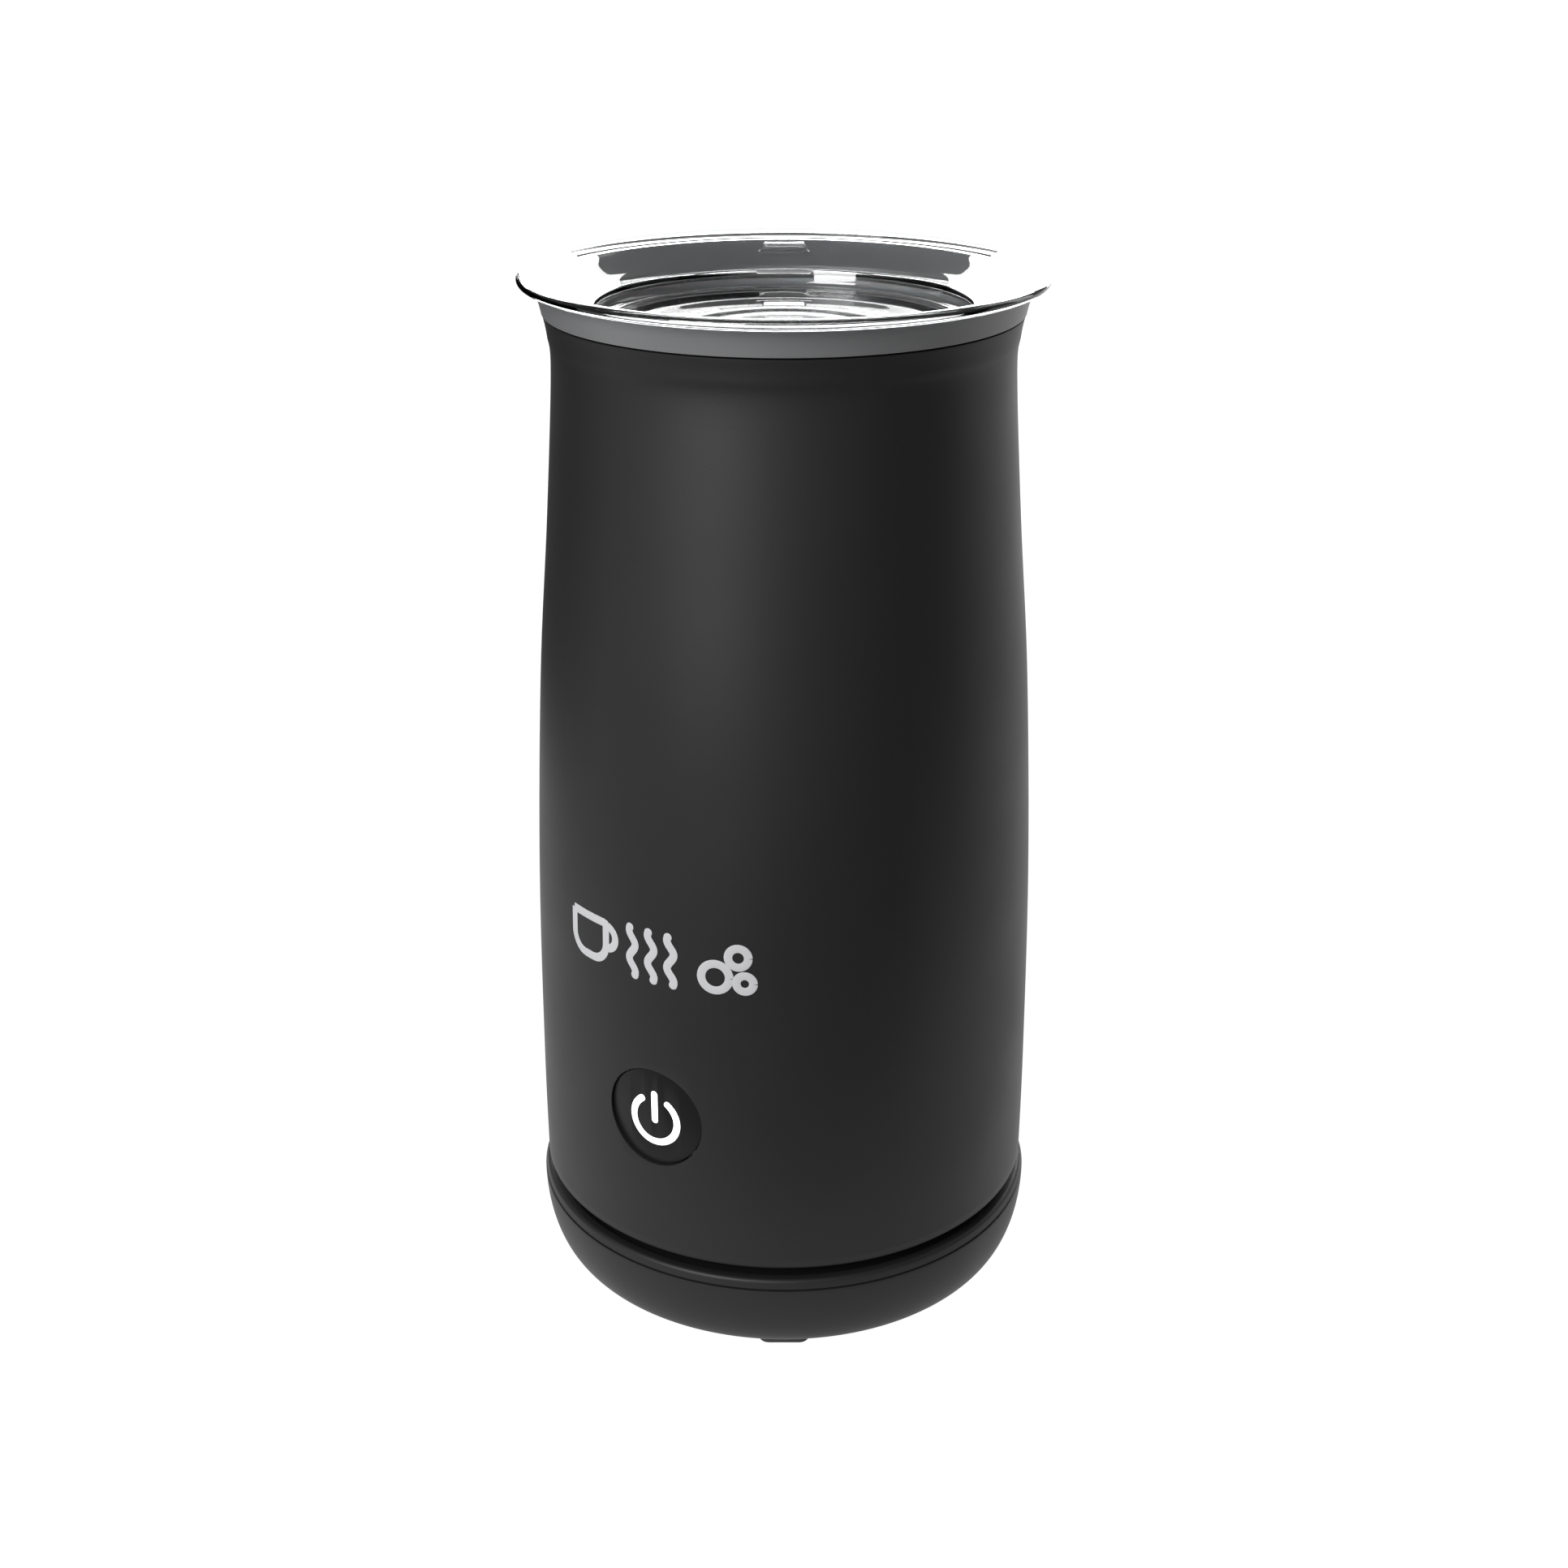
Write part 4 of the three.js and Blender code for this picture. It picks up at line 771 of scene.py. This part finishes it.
bush = spun("lead_bush", [(2.8, 42.6), (4.8, 42.6), (4.8, 44.4), (3.9, 44.4), (3.9, 49.9), (2.8, 49.9)], 64)
soften(bush, 0.25)
bush.rotation_euler.x = -math.pi / 2
bush.location.z = GLAND_HEIGHT * MM
bpy.ops.object.transform_apply(location=True, rotation=True, scale=True)
wear(bush, foot_rubber, "power_base", "rubber", "cord_gland")

# %% [markdown]
# ## The cup
# The steel cup hangs inside the shell. It is thin, with a generous round between wall and floor so that
# milk doesn't stick, and two shallow grooves in its wall mark how full it may be.

# %% Cup and rim seal
CUP_RADIUS = 38.2
CUP_FLOOR = 89.4
CUP_RIM = 197
CUP_SHEET = 0.7
CUP_ROUND = 8


def level_mark(height, depth=0.18, half=0.45):
    return [(CUP_RADIUS, height + half), (CUP_RADIUS + depth, height + 0.2),
            (CUP_RADIUS + depth, height - 0.2), (CUP_RADIUS, height - half)]


cup_corner = (CUP_RADIUS - CUP_ROUND, CUP_FLOOR + CUP_ROUND)
cup = spun("steel_cup", [
    (0, CUP_FLOOR - CUP_SHEET), *arc(cup_corner, (CUP_ROUND + CUP_SHEET,) * 2, -90, 0, 12),
    (CUP_RADIUS + CUP_SHEET, CUP_RIM - 0.3), (CUP_RADIUS + CUP_SHEET / 2, CUP_RIM),
    (CUP_RADIUS, CUP_RIM - 0.3),
    *level_mark(160), *level_mark(128), *arc(cup_corner, (CUP_ROUND,) * 2, 0, -90, 12), (0, CUP_FLOOR)], 144)
soften(cup, 0.05, 2, 50)
wear(cup, coated_steel, "jug", "coated_steel", "inner_cup")

rim_seal = spun("rim_seal", [(39.2, 184.5), (40.5, 184.5), (40.5, 187.7), (39.2, 187.7)], 96)
soften(rim_seal, 0.4)
wear(rim_seal, clear_silicone, "jug", "silicone", "cup_rim_seal")

pivot = spun("pivot_pin", [
    (0, CUP_FLOOR + 0.3), (4.5, CUP_FLOOR + 0.3), (4.5, CUP_FLOOR + 0.8), (1.4, CUP_FLOOR + 1.2), (1.4, 96.2),
    *arc((0, 96.2), (1.4, 1.4), 0, 90, 8)], 48)
soften(pivot, 0.12)
wear(pivot, steel, "jug", "steel", "whisk_pivot")

# %% [markdown]
# ## The whisk
# The whisk is lifted off its pin to be washed. A hub with two round lobes holds the magnets that the motor
# pulls round; above it a four-spoked wire frame carries a springy coil that beats the milk. The coil is one
# wire that winds 16 times round a circle, so it is drawn as a curve from that formula, given a round
# section and made a mesh.

# %% Whisk hub and magnets
WHISK_LOW = 91.2
HUB_RADIUS = 5.2
HUB_BORE = 3.3
WHISK_LOBE_TOP = 95.7
LOBE_RADIUS = 6
LOBE_SPREAD = 10
COIL_HEIGHT = 101.6
COIL_RADIUS = 15.6
COIL_TURNS = 16
WIND_RADIUS = 2.5
WIRE = 0.45

hub = rod(HUB_RADIUS, WHISK_LOW, 98.2, sides=64)
hub.name = hub.data.name = "whisk_body"
for side in (-1, 1):
    join(hub, rod(LOBE_RADIUS, WHISK_LOW, WHISK_LOBE_TOP, (side * LOBE_SPREAD, 0), 64))
lobe_middle = (WHISK_LOW + WHISK_LOBE_TOP) / 2
join(hub, plate((2 * LOBE_SPREAD, 8, WHISK_LOBE_TOP - WHISK_LOW), (0, 0, lobe_middle)))
for side in (-1, 1):
    cut(hub, rod(4.2, WHISK_LOW + 0.8, WHISK_LOBE_TOP + 1, (side * LOBE_SPREAD, 0), 64))
cut(hub, rod(HUB_BORE, 90, 110, sides=64))
soften(hub, 0.3, 3, 40)
wear(hub, soft_black, "whisk", "body_black", "whisk_hub")

for number, side in enumerate((1, -1), 1):
    magnet = rod(3.9, WHISK_LOW + 1.1, WHISK_LOBE_TOP - 0.2, (side * LOBE_SPREAD, 0), 64)
    magnet.name = magnet.data.name = f"whisk_disc_{number}"
    soften(magnet, 0.3)
    wear(magnet, nickel, "whisk", "magnet", f"whisk_magnet_{number}")

sleeve = spun("whisk_sleeve_fine", [
    (0, 99), *arc((1.8, 97.8), (1.2, 1.2), 90, 0, 6), (3, 90.8), (1.7, 90.8), (1.7, 97.9), (0, 97.9)], 48)
soften(sleeve, 0.12)
wear(sleeve, natural_nylon, "whisk_sleeve", "nylon", "whisk_bush")

# %% Whisk frame and coil
wire_frame = spun("whisk_spider", arc((COIL_RADIUS, COIL_HEIGHT), (0.8, 0.8), 0, 345, 23), 128)
for turn in (0, 90):
    join(wire_frame, plate((1.2, 2 * COIL_RADIUS, 1.2), (0, 0, COIL_HEIGHT), 0, turn))
join(wire_frame, rod(HUB_RADIUS, 98.5, COIL_HEIGHT + 0.9, sides=64))
cut(wire_frame, rod(HUB_BORE, 90, 110, sides=64))
soften(wire_frame, 0.18, 3, 45)
wear(wire_frame, steel, "whisk", "steel", "whisk_frame")

coil_curve = bpy.data.curves.new("whisk_spring", 'CURVE')
coil_curve.dimensions = '3D'
coil_curve.bevel_depth = WIRE * MM
coil_curve.bevel_resolution = 4
coil_curve.use_fill_caps = True
COIL_STEPS = COIL_TURNS * 24
spline = coil_curve.splines.new('POLY')
spline.points.add(COIL_STEPS)
for i, point in enumerate(spline.points):
    turn = 2 * math.pi * (0.01 + 0.98 * i / COIL_STEPS)
    wind = COIL_TURNS * turn
    radius = COIL_RADIUS + WIND_RADIUS * math.cos(wind)
    height = COIL_HEIGHT + WIND_RADIUS * math.sin(wind)
    point.co = (radius * math.sin(turn) * MM, -radius * math.cos(turn) * MM, height * MM, 1)
coil = bpy.data.objects.new("whisk_spring", coil_curve)
bpy.context.scene.collection.objects.link(coil)
pick(coil)
bpy.ops.object.convert(target='MESH')
bpy.ops.object.shade_smooth_by_angle(angle=math.radians(50))
wear(coil, steel, "whisk", "steel", "whisk_coil")

# %% [markdown]
# ## The power button
# The cap is a disc whose front follows the jug's round side, a little below it. The symbol goes right
# through the cap, and the milky light guide behind fills it. Both fronts are made by keeping only what lies
# inside one upright cylinder. The symbol is an open ring and a bar with round ends: a small upright section
# is spun part of the way round the Y axis for the ring, and rods round off the ends.

# %% Button helpers
BUTTON_RADIUS = 10.0
BUTTON_FACE = 49.5
BUTTON_BACK = -46.6
CLEAR_OF_FRONT = -52
SYMBOL_RADIUS = 4.85
SYMBOL_STROKE = 1.4
SYMBOL_GAP = 36
SYMBOL_CENTRE = BUTTON_HEIGHT - 0.7
BAR_ENDS = (-0.1, 5.5)


def kept_inside(piece, radius):
    """Keeps what lies inside an upright cylinder round the jug's axis."""
    return worked(piece, rod(radius, 20, 90, sides=720), 'INTERSECT')


def bar_solid(widen, start, end):
    """The bar of the symbol between two y values: a block with a rod at each end."""
    half = SYMBOL_STROKE / 2 + widen
    low, high = (SYMBOL_CENTRE + value for value in BAR_ENDS)
    block = plate((2 * half, end - start, high - low), (0, (start + end) / 2, (low + high) / 2))
    return join(block, *(rod_along_y(half, start, end, value, sides=32) for value in (low, high)))


def ring_solid(widen, start, end):
    """The open ring of the symbol: a strip spun part of the way round the button's axis, with round ends."""
    half = SYMBOL_STROKE / 2 + widen
    centre = Vector((0, 0, SYMBOL_CENTRE * MM))
    opening = math.radians(SYMBOL_GAP)
    deselect_all()
    bpy.ops.mesh.primitive_plane_add(size=MM)
    band = bpy.context.object
    bpy.ops.object.mode_set(mode='EDIT')
    bpy.ops.transform.resize(value=(2 * half, end - start, 1))
    bpy.ops.transform.translate(value=(SYMBOL_RADIUS * MM, (start + end) / 2 * MM, SYMBOL_CENTRE * MM))
    bpy.ops.transform.rotate(value=math.pi / 2 - opening, orient_axis='Y', center_override=centre)
    bpy.ops.mesh.spin(steps=72, angle=-2 * (math.pi - opening), center=centre, axis=(0, 1, 0))
    bpy.ops.mesh.select_all(action='SELECT')
    bpy.ops.mesh.normals_make_consistent(inside=False)
    bpy.ops.object.mode_set(mode='OBJECT')
    ends = [(side * SYMBOL_RADIUS * math.sin(opening), SYMBOL_CENTRE + SYMBOL_RADIUS * math.cos(opening))
            for side in (-1, 1)]
    return join(band, *(rod_along_y(half, start, end, z, x, 32) for x, z in ends))


# %% Button cap and light guide
cap_core = rod_along_y(BUTTON_RADIUS, CLEAR_OF_FRONT, BUTTON_BACK, BUTTON_HEIGHT, sides=144)
cap = kept_inside(cap_core, BUTTON_FACE)
cap.name = cap.data.name = "power_cap"
skirt = cut(rod_along_y(BUTTON_RADIUS - 0.6, BUTTON_BACK - 0.5, BUTTON_BACK + 2.2, BUTTON_HEIGHT),
            rod_along_y(BUTTON_RADIUS - 1.9, BUTTON_BACK - 0.6, BUTTON_BACK + 3, BUTTON_HEIGHT))
join(cap, skirt)
symbol_span = (CLEAR_OF_FRONT, BUTTON_BACK + 1)
cut(cap, bar_solid(0.05, *symbol_span), ring_solid(0.05, *symbol_span))
soften(cap, 0.14, 3, 50)
wear(cap, button_black, "button", "button_black", "button_cap")

guide = rod_along_y(7.4, BUTTON_BACK + 0.3, BUTTON_BACK + 1.5, BUTTON_HEIGHT)
guide.name = guide.data.name = "symbol_light_guide"
join(guide, rod_along_y(1.8, BUTTON_BACK + 1, BUTTON_BACK + 2.7, BUTTON_HEIGHT))
for raised in (bar_solid(0, *symbol_span), ring_solid(0, *symbol_span)):
    join(guide, kept_inside(raised, BUTTON_FACE - 0.06))
soften(guide, 0.06, 2, 50)
wear(guide, milk_light, "button", "milk_light", "light_guide")

# %% [markdown]
# ## The printed pictograms
# Three small line drawings are printed on the jug above the button: a cup, steam, and bubbles of froth.
# Each line is a curve drawn flat, in millimetres across and up, with a round section. The curves become one
# mesh, which is pressed nearly flat, and then each vertex is laid on the jug's round side, where the print
# stands out by a hair.

# %% Pictograms
PRINT_HEIGHT = 86.5
PRINT_STROKE = 1.7
PRINT_PITCH = 15.5
PRINT_RELIEF = 0.07


def subdivided(points, longest=0.5):
    """The same chain with no step longer than this, so that it can follow the jug's round side."""
    fine = [points[0]]
    for (x0, z0), (x1, z1) in zip(points, points[1:]):
        parts = max(1, math.ceil(math.hypot(x1 - x0, z1 - z0) / longest))
        fine += [(x0 + (x1 - x0) * i / parts, z0 + (z1 - z0) * i / parts) for i in range(1, parts + 1)]
    return fine


def line_drawing(points, closed=False):
    """One stroke through (across, up) points, as a tube along X and Z."""
    data = bpy.data.curves.new("stroke", 'CURVE')
    data.dimensions = '3D'
    data.bevel_depth = PRINT_STROKE / 2 * MM
    data.bevel_resolution = 3
    data.use_fill_caps = True
    fine = subdivided([*points, points[0]] if closed else points)
    spline = data.splines.new('POLY')
    spline.points.add(len(fine) - 1)
    for point, (x, z) in zip(spline.points, fine):
        point.co = (x * MM, 0, z * MM, 1)
    stroke = bpy.data.objects.new("stroke", data)
    bpy.context.scene.collection.objects.link(stroke)
    strokes = [stroke]
    for x, z in (() if closed else (points[0], points[-1])):
        deselect_all()
        bpy.ops.mesh.primitive_uv_sphere_add(segments=16, ring_count=10, radius=PRINT_STROKE / 2 * MM,
                                             location=(x * MM, 0, z * MM))
        strokes.append(bpy.context.object)
    return strokes


def moved(points, across):
    return [(x + across, z) for x, z in points]


cup_icon = [(-5, 3.6), (-5, -0.6), *arc((-1.4, -0.9), (3.6, 3.6), 180, 270, 8),
            *arc((1.0, -0.9), (3.6, 3.6), 270, 360, 8), (4.6, 3.6)]
cup_handle = arc((4.8, 0.9), (2.3, 2.3), 75, -75, 12)
steam_heights = [-4.8 + 0.4 * i for i in range(25)]
steam_lines = [[(offset + 0.7 * math.sin(2 * math.pi * z / 5.6), z) for z in steam_heights]
               for offset in (-4.2, 0, 4.2)]
bubbles = [((-2.4, -1.6), 2.7), ((3.2, -2.4), 1.6), ((1.9, 2.7), 1.9)]

strokes = line_drawing(moved(cup_icon, -PRINT_PITCH), closed=True)
strokes += line_drawing(moved(cup_handle, -PRINT_PITCH))
for wave in steam_lines:
    strokes += line_drawing(wave)
for centre, radius in bubbles:
    circle = arc(centre, (radius, radius), 0, 345, 23)
    strokes += line_drawing(moved(circle, PRINT_PITCH), closed=True)
deselect_all()
for stroke in strokes:
    stroke.select_set(True)
bpy.context.view_layer.objects.active = strokes[0]
bpy.ops.object.convert(target='MESH')
bpy.ops.object.transform_apply(location=True, rotation=True, scale=True)
bpy.ops.object.join()
pictograms = bpy.context.object
pictograms.name = pictograms.data.name = "pictograms"


def shell_radius(height):
    """The outer radius of the shell at a height, both in mm."""
    for (r0, z0), (r1, z1) in zip(shell_outside, shell_outside[1:]):
        if z0 <= height <= z1:
            return r0 + (r1 - r0) * (height - z0) / (z1 - z0)
    return shell_outside[0][0]


for vertex in pictograms.data.vertices:
    across, out, up = (value / MM for value in vertex.co)
    height = PRINT_HEIGHT + up
    surface = shell_radius(height)
    reach = surface - out / (PRINT_STROKE / 2) * PRINT_RELIEF
    turn = across / surface
    vertex.co = Vector((reach * math.sin(turn), -reach * math.cos(turn), height)) * MM
bpy.ops.object.shade_smooth_by_angle(angle=math.radians(60))
print_grey = moulded("print_grey", (0.31, 0.31, 0.32), 0.45, 5.0, 0.003, 0.03)
wear(pictograms, print_grey, "jug", "grey_band")

# %% [markdown]
# ## The parts that stay as engineered
# The works inside the jug keep their engineering shapes, because nobody sees them unless the jug is opened.
# They get finishes of the same quality as the rest.

# %% Finishes for the inner works
INNER_FINISHES = {
    natural_nylon: ["base_terminal_block", "chassis", "cup_cradle", "button_guide", "magnet_carrier"],
    board_green: ["main_board", "button_board"],
    component_black: ["relay", "capacitor", "tact_switch"],
    steel: ["motor_bracket", "motor_can", "heating_element", "motor_shaft", "cradle_screw_1",
            "cradle_screw_2", "cradle_screw_3", "motor_screw_1", "motor_screw_2"],
    cast_aluminium: ["heater_plate"],
    turned_brass: ["motor_bush", "temperature_sensor"],
    nickel: ["drive_magnet_1", "drive_magnet_2"],
    milk_light: ["indicator_lamp"],
}
for material, names in INNER_FINISHES.items():
    for name in names:
        for material_slot in NODES[name].material_slots:
            material_slot.material = material
print("inner works finished:", sum(len(names) for names in INNER_FINISHES.values()), "nodes")

# %% The end
print("scene built")
